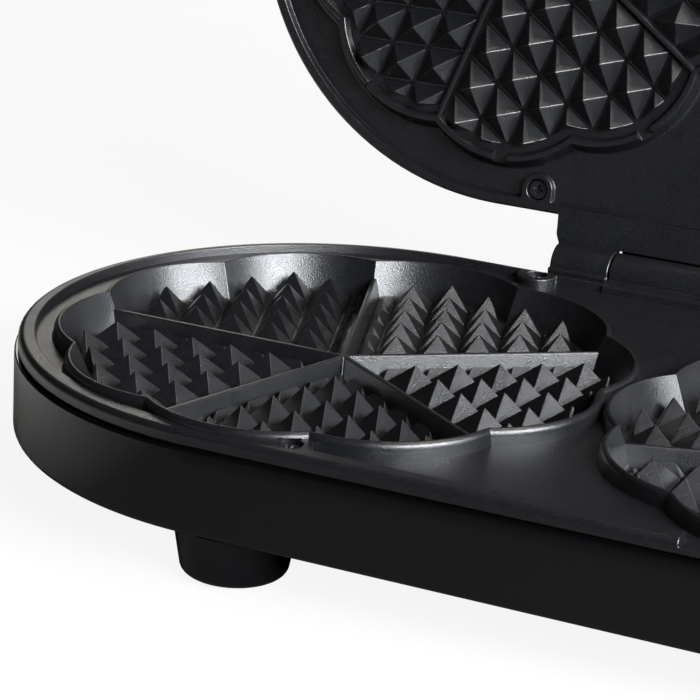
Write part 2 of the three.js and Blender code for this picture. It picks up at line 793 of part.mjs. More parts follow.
function lidHandle() {
  const rings = handleStationShares.map((along) => {
    const reach = handleReach * (handleEndShare + (1 - handleEndShare) * Math.sqrt(1 - along ** 4));
    return handleSectionShares.map(([out, up]) => new THREE.Vector3(
      along * handleHalf,
      handleRoot - out * reach,
      handleTop - (1 - up) * handleThick,
    ));
  });
  const { points, faces, top } = skin(rings);
  const section = handleSectionShares.map(([out, up]) => new THREE.Vector2(out, up));
  THREE.ShapeUtils.triangulateShape(section, []).forEach(([a, b, c]) => {
    faces.push(a, b, c, top + a, top + c, top + b);
  });
  let grip = solid(shape3(points, faces));
  for (const side of [-1, 1]) {
    const depth = handleScrewLength - screwHeadHeight - housingWall;
    const bore = new THREE.CylinderGeometry(screwShank + fit, screwShank + fit, 2 * depth, screwSteps);
    grip = grip.subtract(solid(bore.translate(side * handleScrewX, handleRoot, handleScrewZ)));
  }
  return surface(grip);
}

// Small parts
function screw(length = screwLength) {
  const taper = screwHeadHeight - edgeChamfer;
  return turned([
    [0, 0], [screwHead, 0], [screwShank, -taper],
    [screwShank, -length], [0, -length],
  ].reverse(), screwSteps);
}

function foot() {
  const bend = footRound * (1 - Math.SQRT1_2);
  return turned([
    [0, padSeat + fit], [padRadius + fit, padSeat + fit], [padRadius + fit, footLift],
    [footBottom - footRound, footLift], [footBottom - bend, footLift + bend],
    [footBottom, footLift + footRound], [footTop, footHeight - fit], [0, footHeight - fit],
  ], coarseSteps);
}

function footPad() {
  return turned([[0, 0], [padRadius, 0], [padRadius, padSeat], [0, padSeat]], coarseSteps);
}

function heater() {
  const start = THREE.MathUtils.degToRad(coilGap / 2);
  class Ring extends THREE.Curve {
    getPoint(t, target = new THREE.Vector3()) {
      const angle = start + t * 2 * (Math.PI - start);
      return target.set(coilRadius * Math.cos(angle), coilRadius * Math.sin(angle), 0);
    }
  }
  const section = new THREE.Shape();
  for (let k = 0; k < coilSides; k += 1) {
    const angle = 2 * Math.PI * k / coilSides;
    const place = [tubeRadius * Math.cos(angle), tubeRadius * Math.sin(angle)];
    if (k === 0) {
      section.moveTo(...place);
    } else {
      section.lineTo(...place);
    }
  }
  return new THREE.ExtrudeGeometry(section, { steps: coilSteps, extrudePath: new Ring() });
}

// Reflector dish under or over a heater, open side towards it
function reflector() {
  return turned([
    [0, 0], [dishRadius, 0], [dishRadius + dishWall, dishRim], [dishRadius, dishRim],
    [dishRadius - dishWall, dishWall], [0, dishWall],
  ], smallSteps);
}

function thermostat() {
  return turned([
    [0, -statHeight], [statNeck, -statHeight], [statNeck, -statStep],
    [statRadius, -statStep], [statRadius, 0], [0, 0],
  ], screwSteps);
}

function thermalFuse() {
  const body = new THREE.CylinderGeometry(fuseRadius, fuseRadius, 2 * fuseHalf, screwSteps);
  return body.rotateZ(Math.PI / 2);
}

function terminalBlock() {
  const shape = new THREE.Shape();
  shape.moveTo(-blockLength / 2, 0);
  shape.lineTo(blockLength / 2, 0);
  shape.lineTo(blockLength / 2, blockHeight);
  shape.lineTo(-blockLength / 2, blockHeight);
  shape.closePath();
  for (let k = 0; k < blockPorts; k += 1) {
    const port = new THREE.Path();
    const x = (k - (blockPorts - 1) / 2) * blockLength / blockPorts;
    port.absarc(x, blockHeight / 2, blockPort, 0, 2 * Math.PI, true);
    shape.holes.push(port);
  }
  const body = new THREE.ExtrudeGeometry(shape, {
    depth: blockWidth, bevelEnabled: false, curveSegments: crownSteps,
  });
  return body.rotateX(Math.PI / 2).translate(0, blockWidth / 2, 0);
}

function cordGland() {
  const inner = housingRadius - housingWall - fit;
  const outer = housingRadius + fit;
  const ring = turned([
    [glandBore, inner - glandLip], [glandFlange, inner - glandLip], [glandFlange, inner],
    [glandNeck, inner], [glandNeck, outer], [glandFlange, outer],
    [glandFlange - glandLip / 2, outer + glandLip], [glandBore, outer + glandLip],
    [glandBore, inner - glandLip],
  ], screwSteps);
  return ring.rotateX(-Math.PI / 2);
}

function hingePin() {
  const end = hingeHalf - pinSetback;
  const pin = new THREE.CylinderGeometry(pinRadius, pinRadius, 2 * end, smallSteps);
  return pin.rotateZ(Math.PI / 2);
}

function lampLens() {
  return turned([
    [0, -lampFlangeHeight], [lampFlange, -lampFlangeHeight], [lampFlange, 0], [lampRadius, 0],
    [lampRadius, housingWall + lampDome / 2], [lampRadius / 2, housingWall + lampDome],
    [0, housingWall + lampDome],
  ], screwSteps);
}

function lampHolder() {
  const board = block([-holderHalf, holderHalf], [-holderWidth / 2, holderWidth / 2], [-holderThick, 0]);
  const stand = [-holderThick / 2, neonHeight];
  const neons = [-1, 1].map((side) => column(side * lampX, 0, stand, neonRadius, screwSteps));
  return surface(join([board, ...neons]));
}

// Assembly
const model = new THREE.Group();
const lid = new THREE.Group();
lid.position.set(0, hingeY, hingeZ);
lid.rotation.x = -openAngle;
model.add(lid);
const closed = new THREE.Group(); // pieces of the lid are placed here as they lie when it is shut
closed.position.set(0, -hingeY, -hingeZ);
lid.add(closed);

function place(parent, name, geometry, finish, [x, y, z] = [0, 0, 0]) {
  const mesh = new THREE.Mesh(geometry, new THREE.MeshStandardMaterial(finish));
  mesh.name = name;
  mesh.position.set(x, y, z);
  parent.add(mesh);
  return mesh;
}

place(model, 'base_housing', baseHousing(), glossFinish);
place(model, 'lower_plate', lowerPlate(), castFinish);
place(closed, 'upper_plate', upperPlate(), castFinish);
place(closed, 'lid_housing', lidHousing(), glossFinish);
place(closed, 'lid_handle', lidHandle(), glossFinish);
place(model, 'hinge_pin', hingePin(), steelFinish, [0, hingeY, hingeZ]);

for (const [row, y] of [['front', -footY], ['rear', footY]]) {
  for (const [side, x] of [['left', -footX], ['right', footX]]) {
    place(model, `foot_${row}_${side}`, foot(), glossFinish, [x, y, 0]);
    place(model, `foot_pad_${row}_${side}`, footPad(), rubberFinish, [x, y, 0]);
  }
}

baseScrews.forEach(([x, y], k) => {
  place(model, `plate_screw_${k + 1}`, screw(), blackSteelFinish, [x, y, ledgeTop - screwSink]);
});
lidScrews.forEach(([x, y], k) => {
  const at = [x, y, lidEdge + screwSink];
  const mesh = place(closed, `lid_screw_${k + 1}`, screw(), blackSteelFinish, at);
  mesh.rotation.x = Math.PI;
});
[-1, 1].forEach((side, k) => {
  const head = handleRoot + fit + housingWall + screwHeadHeight;
  const at = [side * handleScrewX, head, handleScrewZ];
  const mesh = place(closed, `handle_screw_${k + 1}`, screw(handleScrewLength), blackSteelFinish, at);
  mesh.rotation.x = -Math.PI / 2;
});

hubs.forEach((hub, k) => {
  const side = ['left', 'right'][k];
  const lowCoil = panUnder - fit - tubeRadius;
  const highCoil = slabBack + fit + tubeRadius;
  const turn = k * Math.PI;
  place(model, `lower_heater_${side}`, heater(), steelFinish, [hub.x, hub.y, lowCoil]).rotation.z = turn;
  place(closed, `upper_heater_${side}`, heater(), steelFinish, [hub.x, hub.y, highCoil]).rotation.z = turn;
  const lowDish = lowCoil - tubeRadius - fit - dishWall;
  const highDish = highCoil + tubeRadius + fit + dishWall;
  place(model, `lower_reflector_${side}`, reflector(), tinFinish, [hub.x, hub.y, lowDish]);
  const upperDish = place(closed, `upper_reflector_${side}`, reflector(), tinFinish, [hub.x, hub.y, highDish]);
  upperDish.rotation.x = Math.PI;
});

const tubFloor = housingBase + housingFloor;
const upperStatPlace = [0, -statY, slabBack + fit];
place(model, 'lower_thermostat', thermostat(), ceramicFinish, [0, -statY, troughUnder - fit]);
place(closed, 'upper_thermostat', thermostat(), ceramicFinish, upperStatPlace).rotation.x = Math.PI;
place(model, 'thermal_fuse', thermalFuse(), ceramicFinish, [0, fuseY, troughUnder - fit - fuseRadius]);
place(model, 'terminal_block', terminalBlock(), phenolicFinish, [0, blockY, tubFloor + fit]);
place(model, 'cord_gland', cordGland(), rubberFinish, [glandX, 0, housingRim - glandDrop]);
place(closed, 'power_lamp_lens', lampLens(), redLensFinish, [-lampX, lampY, lampSeat]);
place(closed, 'ready_lamp_lens', lampLens(), greenLensFinish, [lampX, lampY, lampSeat]);
place(closed, 'lamp_holder', lampHolder(), boardFinish, [0, lampY, holderTop]);

// The origin goes midway between the front of the base and the back of the open lid
const extent = new THREE.Box3().setFromObject(model, true);
model.position.y = -(extent.min.y + extent.max.y) / 2;

export default model;
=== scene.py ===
# %% [markdown]
# # A double waffle maker, dressed for its portrait
# The solids of the machine come in as a fixed frame, in metres, standing open on the floor.
# This lesson gives them their real surfaces: cast plates with a speckled coating, glossy
# moulded housings, screws, lamps and feet. Each step first says what the thing is.

# %% Load the frame
import math
import bmesh
import bpy
from mathutils import Matrix, Vector


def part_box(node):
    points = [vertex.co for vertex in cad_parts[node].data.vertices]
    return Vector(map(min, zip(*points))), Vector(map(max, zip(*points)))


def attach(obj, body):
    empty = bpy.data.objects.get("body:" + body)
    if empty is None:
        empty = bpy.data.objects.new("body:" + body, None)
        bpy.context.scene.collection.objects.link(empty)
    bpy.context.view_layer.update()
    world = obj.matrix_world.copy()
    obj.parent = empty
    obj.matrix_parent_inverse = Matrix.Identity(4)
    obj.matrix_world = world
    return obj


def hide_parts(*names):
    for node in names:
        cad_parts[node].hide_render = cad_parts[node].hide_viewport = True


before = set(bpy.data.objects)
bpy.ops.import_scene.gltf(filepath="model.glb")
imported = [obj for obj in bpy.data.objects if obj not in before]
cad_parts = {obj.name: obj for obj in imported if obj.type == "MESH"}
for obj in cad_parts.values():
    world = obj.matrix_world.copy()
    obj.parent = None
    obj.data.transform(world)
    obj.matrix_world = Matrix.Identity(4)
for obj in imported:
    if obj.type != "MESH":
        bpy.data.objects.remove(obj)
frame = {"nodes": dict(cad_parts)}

scene = bpy.context.scene
nodes = frame["nodes"]
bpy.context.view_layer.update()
MM = 0.001

# %% [markdown]
# The camera stands in front of the machine, a little to the right and above, as a
# photographer's would with a long lens. Its place and three turns fix it. The focal length
# is known in pixels of the square picture, and the sensor's width makes it millimetres.

# %% Camera
FRAME_PIXELS, FOCAL_PIXELS, SENSOR = 700, 2832.93, 36
CLIP_NEAR, CLIP_FAR = 0.05, 20
CAMERA_PLACE = Vector((0.2227, -0.72302, 0.29763))
CAMERA_TURN = math.radians(23.8335)
CAMERA_RISE = math.radians(18.891)
CAMERA_TILT = math.radians(3.1976)

turn_east = Vector((math.cos(CAMERA_TURN), math.sin(CAMERA_TURN), 0))
backward = Vector((
    math.sin(CAMERA_TURN) * math.cos(CAMERA_RISE),
    -math.cos(CAMERA_TURN) * math.cos(CAMERA_RISE),
    math.sin(CAMERA_RISE),
))
upward = backward.cross(turn_east)
right = math.cos(CAMERA_TILT) * turn_east + math.sin(CAMERA_TILT) * upward
above = -math.sin(CAMERA_TILT) * turn_east + math.cos(CAMERA_TILT) * upward

camera = bpy.data.objects.new("camera", bpy.data.cameras.new("camera"))
scene.collection.objects.link(camera)
camera.data.sensor_width = SENSOR
camera.data.lens = SENSOR * FOCAL_PIXELS / FRAME_PIXELS
camera.data.clip_start = CLIP_NEAR
camera.data.clip_end = CLIP_FAR
camera.matrix_world = Matrix((
    (right.x, above.x, backward.x, CAMERA_PLACE.x),
    (right.y, above.y, backward.y, CAMERA_PLACE.y),
    (right.z, above.z, backward.z, CAMERA_PLACE.z),
    (0, 0, 0, 1),
))
scene.camera = camera
scene.view_settings.view_transform = "Standard"
print("lens:", round(camera.data.lens, 1), "mm")

# %% [markdown]
# Everything is modelled in millimetres, with the lid shut, as a drawing would give it. Only
# when a piece is done does its mesh get the scale, the place and, for the lid's pieces, the
# turn about the hinge. The sizes below drive all the pieces. The rosette has ten round
# lobes, two to each of its five hearts, and its lobe circles are found from the points
# where neighbouring lobes meet. An outline is a stadium: its radius, how far its round ends
# stand from the middle, and its y.

# %% Driving sizes, in millimetres
HUB_X, HUB_Y = 80.25, -6.75
PLATE_TURNS = {"left": math.radians(0), "right": math.radians(18)}
LOBES, HEARTS = 10, 5
FIRST_DIVIDER, HEART_STEP = 36, 72
LOBE_RADIUS, CUSP_RADIUS = 35.2, 75
HALF_LOBE = math.pi / LOBES
half_cusp = CUSP_RADIUS * math.sin(HALF_LOBE)
LOBE_OFFSET = CUSP_RADIUS * math.cos(HALF_LOBE) - math.sqrt(LOBE_RADIUS**2 - half_cusp**2)
RIM_WALL, RIM_FLARE = 1.8, 0.5
FIT, OVERRUN = 0.3, 4

TABLE_TO_HOUSING, HOUSING_RIM = 15.5, 38.5
FLANGE_UNDER, LEDGE_TOP = 39.5, 43.5
TROUGH_TOP, TROUGH_UNDER = 41.1, 37.2
RIM_TOP, CUP_FLOOR, PAN_UNDER = 45.5, 34.75, 31.75
LID_EDGE, RECESS, PLATFORM, BEAD_TIP = 44, 46.3, 43.7, 41.75
LID_FLANGE_TOP, SLAB_BACK, LID_RIM, LID_SHOULDER = 47.5, 49.3, 48.5, 63.5

BASE = (91.236, 83.55, 0)
TROUGH = (86.336, 84.15, 1.6)
LID = (91.636, HUB_X, HUB_Y)
HOUSING_RADIUS = 92.236
HINGE = Vector((0, 99.586, 44.1))
OPEN_ANGLE = math.radians(99.07)
BARREL, PIN_RADIUS, MIDDLE_HALF, KNUCKLE_GAP, OUTER_KNUCKLE = 6.3, 2.45, 38.8, 0.5, 18.7

BASE_SCREWS = [(-59.6, 86.686), (59.6, 86.686), (-59.6, -84.286), (HUB_X, -87.336)]
LID_SCREWS = [(side * 67.4, HUB_Y + rear * 85.186) for rear in (-1, 1) for side in (-1, 1)]
HUBS = {
    side: (sign * HUB_X, HUB_Y, PLATE_TURNS[side])
    for side, sign in (("left", -1), ("right", 1))
}

low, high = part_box("base_housing")
MIDDLE_Y = (low.y + high.y) / 2
in_frame = Matrix.Translation((0, MIDDLE_Y, 0)) @ Matrix.Scale(MM, 4)
opened = (
    in_frame @ Matrix.Translation(HINGE)
    @ Matrix.Rotation(-OPEN_ANGLE, 4, "X") @ Matrix.Translation(-HINGE)
)
print("lobe circles lie", round(LOBE_OFFSET, 2), "mm from the hub")

# %% [markdown]
# Blender's operators act on what is selected, so the first hands for the bench select. `hold`
# makes one piece the only selected one, and `pick` opens it for editing with just the wanted
# corners, edges or faces selected, found by a test of their place or normal.


# %% Hands that select
def hold(piece):
    bpy.ops.object.select_all(action="DESELECT")
    piece.select_set(True)
    bpy.context.view_layer.objects.active = piece
    return piece


def named(name):
    """Names the primitive that was just added and bakes its place into its mesh."""
    piece = bpy.context.object
    piece.name = piece.data.name = name
    bpy.ops.object.transform_apply(location=True, rotation=True, scale=True)
    return piece


def pick(piece, kind, test):
    hold(piece)
    bpy.ops.object.mode_set(mode="EDIT")
    bpy.ops.mesh.select_mode(type=kind)
    bpy.ops.mesh.select_all(action="DESELECT")
    mesh = bmesh.from_edit_mesh(piece.data)
    for part in {"VERT": mesh.verts, "EDGE": mesh.edges, "FACE": mesh.faces}[kind]:
        if test(part):
            part.select_set(True)
    bmesh.update_edit_mesh(piece.data)


def done():
    bpy.ops.object.mode_set(mode="OBJECT")


print("hands:", ", ".join(hand.__name__ for hand in (hold, named, pick, done)))

# %% [markdown]
# Some steps come back on many pieces: the outer edge of a slab is rounded, its top or bottom
# is inset and pushed in, one piece is cut by others, and the edges that a cut left are
# softened. The cuts are exact Booleans, and the softening is a Bevel that only takes edges
# sharper than an angle. Each modifier is applied at once, so the next step sees its result.

# %% Hands that shape
LEVEL_SLACK, FLAT_NORMAL, SHARP_ANGLE = 0.01, 0.9, 32


def outward(piece):
    pick(piece, "FACE", lambda face: True)
    bpy.ops.mesh.normals_make_consistent(inside=False)
    done()
    return piece


def round_edge(piece, level, side, width, segments):
    """Rounds the edges at the piece's top level (side 1) or bottom level (side -1)."""
    pick(piece, "EDGE", lambda edge: all(
        side * (vert.co.z - level) > -LEVEL_SLACK for vert in edge.verts))
    bpy.ops.mesh.bevel(offset=width, segments=segments, affect="EDGES")
    done()


def inset_and_push(piece, side, thickness, rise):
    """Insets the faces that look up (side 1) or down (side -1), and moves what is left."""
    pick(piece, "FACE", lambda face: side * face.normal.z > FLAT_NORMAL)
    bpy.ops.mesh.inset(thickness=thickness)
    bpy.ops.mesh.extrude_region_move(TRANSFORM_OT_translate={"value": (0, 0, rise)})
    done()


def resized(piece, test, value, centre):
    """Scales the corners that pass the test, about a centre."""
    pick(piece, "VERT", test)
    bpy.ops.transform.resize(value=value, center_override=centre)
    done()


def apply(piece, kind, **settings):
    hold(piece)
    modifier = piece.modifiers.new(kind.lower(), kind)
    for key, value in settings.items():
        setattr(modifier, key, value)
    bpy.ops.object.modifier_apply(modifier=modifier.name)
    return piece


def carve(piece, *tools, operation="DIFFERENCE"):
    for tool in tools:
        apply(piece, "BOOLEAN", operation=operation, object=tool, solver="EXACT")
        bpy.data.objects.remove(tool)
    return piece


def soften(piece, width, segments=3, angle=SHARP_ANGLE):
    return apply(
        piece, "BEVEL", width=width, segments=segments, limit_method="ANGLE",
        angle_limit=math.radians(angle), use_clamp_overlap=False, miter_outer="MITER_ARC",
    )


print("softened edges are sharper than", SHARP_ANGLE, "degrees")

# %% [markdown]
# What repeats is modelled once and copied, each copy with its own mesh. `hand_over` is the
# last hand to touch a piece: it moves the mesh into the frame, smooths it and hangs it on its
# body. Weighted normals keep the broad flat faces flat beside their small round edges.

# %% Hands that copy and hand over
SMOOTH_ANGLE = 35
waiting = []


def together(name, pieces):
    hold(pieces[0])
    for piece in pieces[1:]:
        piece.select_set(True)
    bpy.ops.object.join()
    pieces[0].name = pieces[0].data.name = name
    return pieces[0]


def copy_of(piece, name, matrix=Matrix()):
    hold(piece)
    bpy.ops.object.duplicate()
    copy = bpy.context.object
    copy.name = copy.data.name = name
    copy.data.transform(matrix)
    return copy


def turned_at(x, y, angle):
    """For a piece that was made round the origin."""
    return Matrix.Translation((x, y, 0)) @ Matrix.Rotation(angle, 4, "Z")


def turned_about(x, y, angle):
    """For a piece that already stands beside the point it turns about."""
    return turned_at(x, y, angle) @ Matrix.Translation((-x, -y, 0))


def hand_over(piece, body, slot, *nodes, smooth=SMOOTH_ANGLE):
    """A finished piece goes into the frame; its finish follows once the finishes exist."""
    piece.data.transform(opened if body == "lid" else in_frame)
    hold(piece)
    bpy.ops.object.shade_smooth_by_angle(angle=math.radians(smooth))
    apply(piece, "WEIGHTED_NORMAL", mode="FACE_AREA", weight=100, keep_sharp=True)
    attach(piece, body)
    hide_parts(*nodes)
    waiting.append((piece, slot))
    print(piece.name, len(piece.data.polygons), "faces")


print("faces that meet at less than", SMOOTH_ANGLE, "degrees are shaded as one")

# %% [markdown]
# The outlines of this machine are stadiums: two half circles joined by straight lines. A
# cylinder or cone gives one when its two halves are moved apart. It is turned by half a
# step first, so that no corner lies on the line between the halves.

# %% A stadium from a cylinder
ROUND = 144


def stadium(name, outline, low, high, high_radius=None):
    """An outline from its low to its high level; a high radius makes its side lean."""
    radius, end_x, y = outline
    bpy.ops.mesh.primitive_cone_add(
        vertices=ROUND, radius1=radius, radius2=high_radius or radius, depth=high - low,
        location=(0, y, (low + high) / 2), rotation=(0, 0, math.pi / ROUND),
    )
    piece = named(name)
    for side in (1, -1):
        pick(piece, "VERT", lambda vert: vert.co.x * side > 0)
        bpy.ops.transform.translate(value=(side * end_x, 0, 0))
        done()
    return piece


print("a stadium has", ROUND, "corners")

# %% [markdown]
# The tools that cut bosses, holes, slots and bores are simple shapes, given by where they
# start and end. Such a tool never stays in the scene: a Boolean uses it up.


# %% Simple cutters
def cylinder(name, x, y, low, high, radius, steps=48):
    bpy.ops.mesh.primitive_cylinder_add(
        vertices=steps, radius=radius, depth=high - low, location=(x, y, (low + high) / 2),
    )
    return named(name)


def rod(name, start, end, radius, steps=64):
    """A cylinder along the hinge's axis."""
    bpy.ops.mesh.primitive_cylinder_add(
        vertices=steps, radius=radius, depth=end - start,
        location=((start + end) / 2, HINGE.y, HINGE.z), rotation=(0, math.pi / 2, 0),
    )
    return named(name)


def block(name, xs, ys, zs):
    middle = [(a + b) / 2 for a, b in (xs, ys, zs)]
    bpy.ops.mesh.primitive_cube_add(
        size=1, location=middle, scale=[b - a for a, b in (xs, ys, zs)],
    )
    return named(name)


print("cutters:", ", ".join(maker.__name__ for maker in (cylinder, rod, block)))

# %% [markdown]
# The scalloped walls can't come from a primitive: each level is ten arcs whose meeting
# points are rounded, and the wall leans and flares from level to level. Ten cylinders
# joined together would give the lobes, but not the even rounding at the cusps, so the wall
# is a loft: rings of points found by geometry, one above the other, with a face in each gap.

# %% Rings of lobes and the loft through them
ARC_STEPS, CUSP_STEPS, CUSP_ROUND = 18, 4, 0.45


def rosette(hub, arc, z, cusp_round=CUSP_ROUND, lobes=range(LOBES)):
    x, y, turn = hub
    across = LOBE_OFFSET * math.sin(HALF_LOBE)
    along = LOBE_OFFSET * math.cos(HALF_LOBE)
    centre = along + math.sqrt((arc + cusp_round)**2 - across**2)
    lean = math.atan2(across, centre - along)
    points = []
    for lobe in lobes:
        axis = turn + (2 * lobe + 1) * HALF_LOBE
        for step in range(ARC_STEPS + 1):
            angle = axis + (2 * step / ARC_STEPS - 1) * (lean + HALF_LOBE)
            points.append((
                x + LOBE_OFFSET * math.cos(axis) + arc * math.cos(angle),
                y + LOBE_OFFSET * math.sin(axis) + arc * math.sin(angle), z,
            ))
        cusp = axis + HALF_LOBE
        for step in range(1, CUSP_STEPS):
            angle = cusp + math.pi + lean - 2 * lean * step / CUSP_STEPS
            points.append((
                x + centre * math.cos(cusp) + cusp_round * math.cos(angle),
                y + centre * math.sin(cusp) + cusp_round * math.sin(angle), z,
            ))
    return points


def loft(name, rings):
    count = len(rings[0])
    faces = [list(range(count))[::-1], [(len(rings) - 1) * count + k for k in range(count)]]
    for row in range(len(rings) - 1):
        low, high = row * count, (row + 1) * count
        for k in range(count):
            after = (k + 1) % count
            faces.append((low + k, low + after, high + after, high + k))
    mesh = bpy.data.meshes.new(name)
    mesh.from_pydata([point for ring in rings for point in ring], [], faces)
    piece = bpy.data.objects.new(name, mesh)
    scene.collection.objects.link(piece)
    return outward(piece)


def arc_points(centre, level, radius, first, last, steps):
    """Points (reach, level) on an arc, its angles in degrees from straight out, rising."""
    angles = [math.radians(first + (last - first) * k / steps) for k in range(steps + 1)]
    return [(centre + radius * math.cos(a), level + radius * math.sin(a)) for a in angles]


print("a ring of lobes has", len(rosette(HUBS["left"], LOBE_RADIUS, RIM_TOP)), "points")

# %% [markdown]
# The lower plate is one aluminium casting: a ledge round the outside, a trough inside it
# that catches batter, raised bosses for its screws and a drip notch in the front edge. It
# starts as a stadium slab. Its outer edge gets a broad bevel, its underside is inset and
# pushed down into the housing, and the trough is cut by a second, leaning stadium from
# which the bosses have first been taken. The wells of the two cups are cut too, so that the
# ledge keeps clear of the lid. A last Bevel rounds every edge the cuts left; where it throws
# up a corner, that corner is flattened back to the ledge's level.

# %% Lower plate: ledge and trough
LEDGE_ROUND, LEDGE_SOFT, FLANGE_STEP = 1.9, 0.45, 1.5
BOSS, HEAD_HOLE, HEAD_DEPTH, HOLE_STEPS = 6, 3.3, 2.6, 32
TROUGH_SPREAD, TROUGH_BELOW, BOSS_BELOW = 1.4, 10, 12
NOTCH_START, NOTCH_END, NOTCH_BACK, NOTCH_DEPTH = 45.8, 75.8, -80.7, 2.2
WELL_LOW, WELL_HIGH, WELL_ROOM = 20, 60, 1

ledge = stadium("lower_ledge", BASE, FLANGE_UNDER, LEDGE_TOP)
round_edge(ledge, LEDGE_TOP, 1, LEDGE_ROUND, segments=6)
inset_and_push(ledge, -1, FLANGE_STEP, TROUGH_UNDER - FLANGE_UNDER)

cut_top = LEDGE_TOP + OVERRUN
trough_lean = TROUGH_SPREAD / (cut_top - TROUGH_TOP)
trough = stadium(
    "trough", (TROUGH[0] - TROUGH_BELOW * trough_lean, *TROUGH[1:]),
    TROUGH_TOP - TROUGH_BELOW, cut_top, TROUGH[0] + TROUGH_SPREAD,
)
carve(trough, *[
    cylinder("boss", x, y, TROUGH_TOP - BOSS_BELOW, cut_top + OVERRUN, BOSS)
    for x, y in BASE_SCREWS
])
notch = block(
    "notch", (NOTCH_START, NOTCH_END), (-BASE[0] - OVERRUN, NOTCH_BACK),
    (LEDGE_TOP - NOTCH_DEPTH, cut_top),
)
holes = [
    cylinder("hole", x, y, LEDGE_TOP - HEAD_DEPTH, cut_top, HEAD_HOLE, HOLE_STEPS)
    for x, y in BASE_SCREWS
]
wells = [
    loft("well", [rosette(hub, LOBE_RADIUS + WELL_ROOM, z) for z in (WELL_LOW, WELL_HIGH)])
    for hub in HUBS.values()
]
carve(ledge, trough, notch, *holes, *[copy_of(well, "well") for well in wells])
soften(ledge, LEDGE_SOFT)
resized(ledge, lambda vert: vert.co.z > LEDGE_TOP, (1, 1, 0), (0, 0, LEDGE_TOP))
hand_over(ledge, "base", "lower_casting", "lower_plate")

# %% [markdown]
# The trough's floor is a piece of its own, a stadium slab with the same two wells, because
# its level differs from the ledge's underside. It reaches a little under the ledge.

# %% Lower plate: the trough's floor
UNDER_LEDGE, UNDER_GAP = 1, 0.05
trough_floor = stadium(
    "lower_trough", (TROUGH[0] + UNDER_LEDGE, *TROUGH[1:]), TROUGH_UNDER + UNDER_GAP, TROUGH_TOP,
)
carve(trough_floor, *wells)
hand_over(trough_floor, "base", "lower_casting", "lower_plate")

# %% [markdown]
# Each cup is a scalloped wall that stands nearly straight outside, has a round lip, and
# leans inward down to its floor. Going round one slice of the wall gives a list of (lobe
# radius, level), and one ring of lobes is laid through each entry. A small web of metal
# joins the two walls where they come closest, and the heads of the screws get some room.

# %% Lower plate: cups
CUP_DRAFT, FLOOR_ROUND, FLOOR_SHIFT = 0.364, 1.4, 0.35
LIP_ROUND, LIP_DROP, PAN_ARC = 0.35, 2.3, 34
WEB_START, WEB_END, WEB_HALF, WEB_DROP, WEB_SOFT = -3.25, -0.7, 6.2, 1.2, 0.25
HEAD_ROOM, HEAD_ROOM_DROP = 0.4, 1.3

wall_arc = LOBE_RADIUS + RIM_WALL + RIM_FLARE
floor_arc = LOBE_RADIUS - (RIM_TOP - CUP_FLOOR) * CUP_DRAFT
lip_arc, lip_width = LOBE_RADIUS + LIP_ROUND, RIM_WALL - LIP_ROUND
lip_angles = [math.radians(11.25 * k) for k in range(9)]
floor_angles = [math.radians(70 - 17.5 * k) for k in range(5)]
wall_slice = [(PAN_ARC, PAN_UNDER), (wall_arc, TROUGH_UNDER + 1), (wall_arc, TROUGH_TOP)]
wall_slice += [
    (lip_arc + lip_width * math.cos(a), RIM_TOP - LIP_DROP * (1 - math.sin(a)))
    for a in lip_angles
]
wall_slice += arc_points(lip_arc, RIM_TOP - LIP_ROUND, LIP_ROUND, 120, 180, 2)
wall_slice += [
    (floor_arc - FLOOR_ROUND * (1 - math.sin(a)) + FLOOR_SHIFT,
     CUP_FLOOR + FLOOR_ROUND * (1 - math.cos(a)))
    for a in floor_angles
]
cups = {
    side: loft("lower_cup_" + side, [rosette(hub, arc, z) for arc, z in wall_slice])
    for side, hub in HUBS.items()
}
web = block(
    "web", (WEB_START, WEB_END), (HUB_Y - WEB_HALF, HUB_Y + WEB_HALF),
    (TROUGH_UNDER, RIM_TOP - WEB_DROP),
)
carve(cups["left"], soften(web, WEB_SOFT), operation="UNION")
for cup in cups.values():
    carve(cup, *[
        cylinder("room", x, y, LEDGE_TOP - HEAD_DEPTH, RIM_TOP - HEAD_ROOM_DROP,
                 HEAD_HOLE + HEAD_ROOM, HOLE_STEPS)
        for x, y in BASE_SCREWS
    ])
    hand_over(cup, "base", "lower_casting", "lower_plate")

# %% [markdown]
# Five dividers run from the hub to the cusps. One is a bar whose top is narrower than its
# foot; the other four are copies turned about the hub, united so that the hub has no
# hidden faces.

# %% Dividers
DIVIDER_FOOT, DIVIDER_REACH, DIVIDER_DROP, DIVIDER_SOFT = 2.5, 74.2, 4.95, 0.4


def dividers(name, hub, tip, root, reach, top=0.7, foot=1.25):
    """Tip and root are levels, top and foot half widths; the bars sink 1 into the plate."""
    x, y, turn = hub
    sunk = root + (1 if root > tip else -1)
    bar = block("bar", (0, reach), (-foot, foot), sorted((sunk, tip)))
    resized(
        bar, lambda vert: abs(vert.co.z - tip) < LEVEL_SLACK,
        (1, top / foot, 1), (reach / 2, 0, tip),
    )
    angles = [turn + math.radians(FIRST_DIVIDER + HEART_STEP * k) for k in range(HEARTS)]
    star, *others = [copy_of(bar, "bar", turned_at(x, y, angle)) for angle in angles]
    bpy.data.objects.remove(bar)
    carve(star, *others, operation="UNION")
    star.name = star.data.name = name
    return soften(star, DIVIDER_SOFT)


for side, hub in HUBS.items():
    star = dividers(
        "lower_dividers_" + side, hub, RIM_TOP - DIVIDER_DROP, CUP_FLOOR, DIVIDER_REACH,
        foot=DIVIDER_FOOT,
    )
    hand_over(star, "base", "lower_casting", "lower_plate")

# %% [markdown]
# The pyramids stand on a slanting lattice that follows the two dividers of each heart. A
# grid with one square per pyramid is slanted by a matrix, each square is inset by half the
# width of the valleys between the pyramids, and Poke pulls the middle of each square up to
# a point. The block is then cut to the shape of its heart, so that the outer pyramids end
# at a wall as the real ones do.

# %% The outline of a heart
HEART_CUSP = 0.3


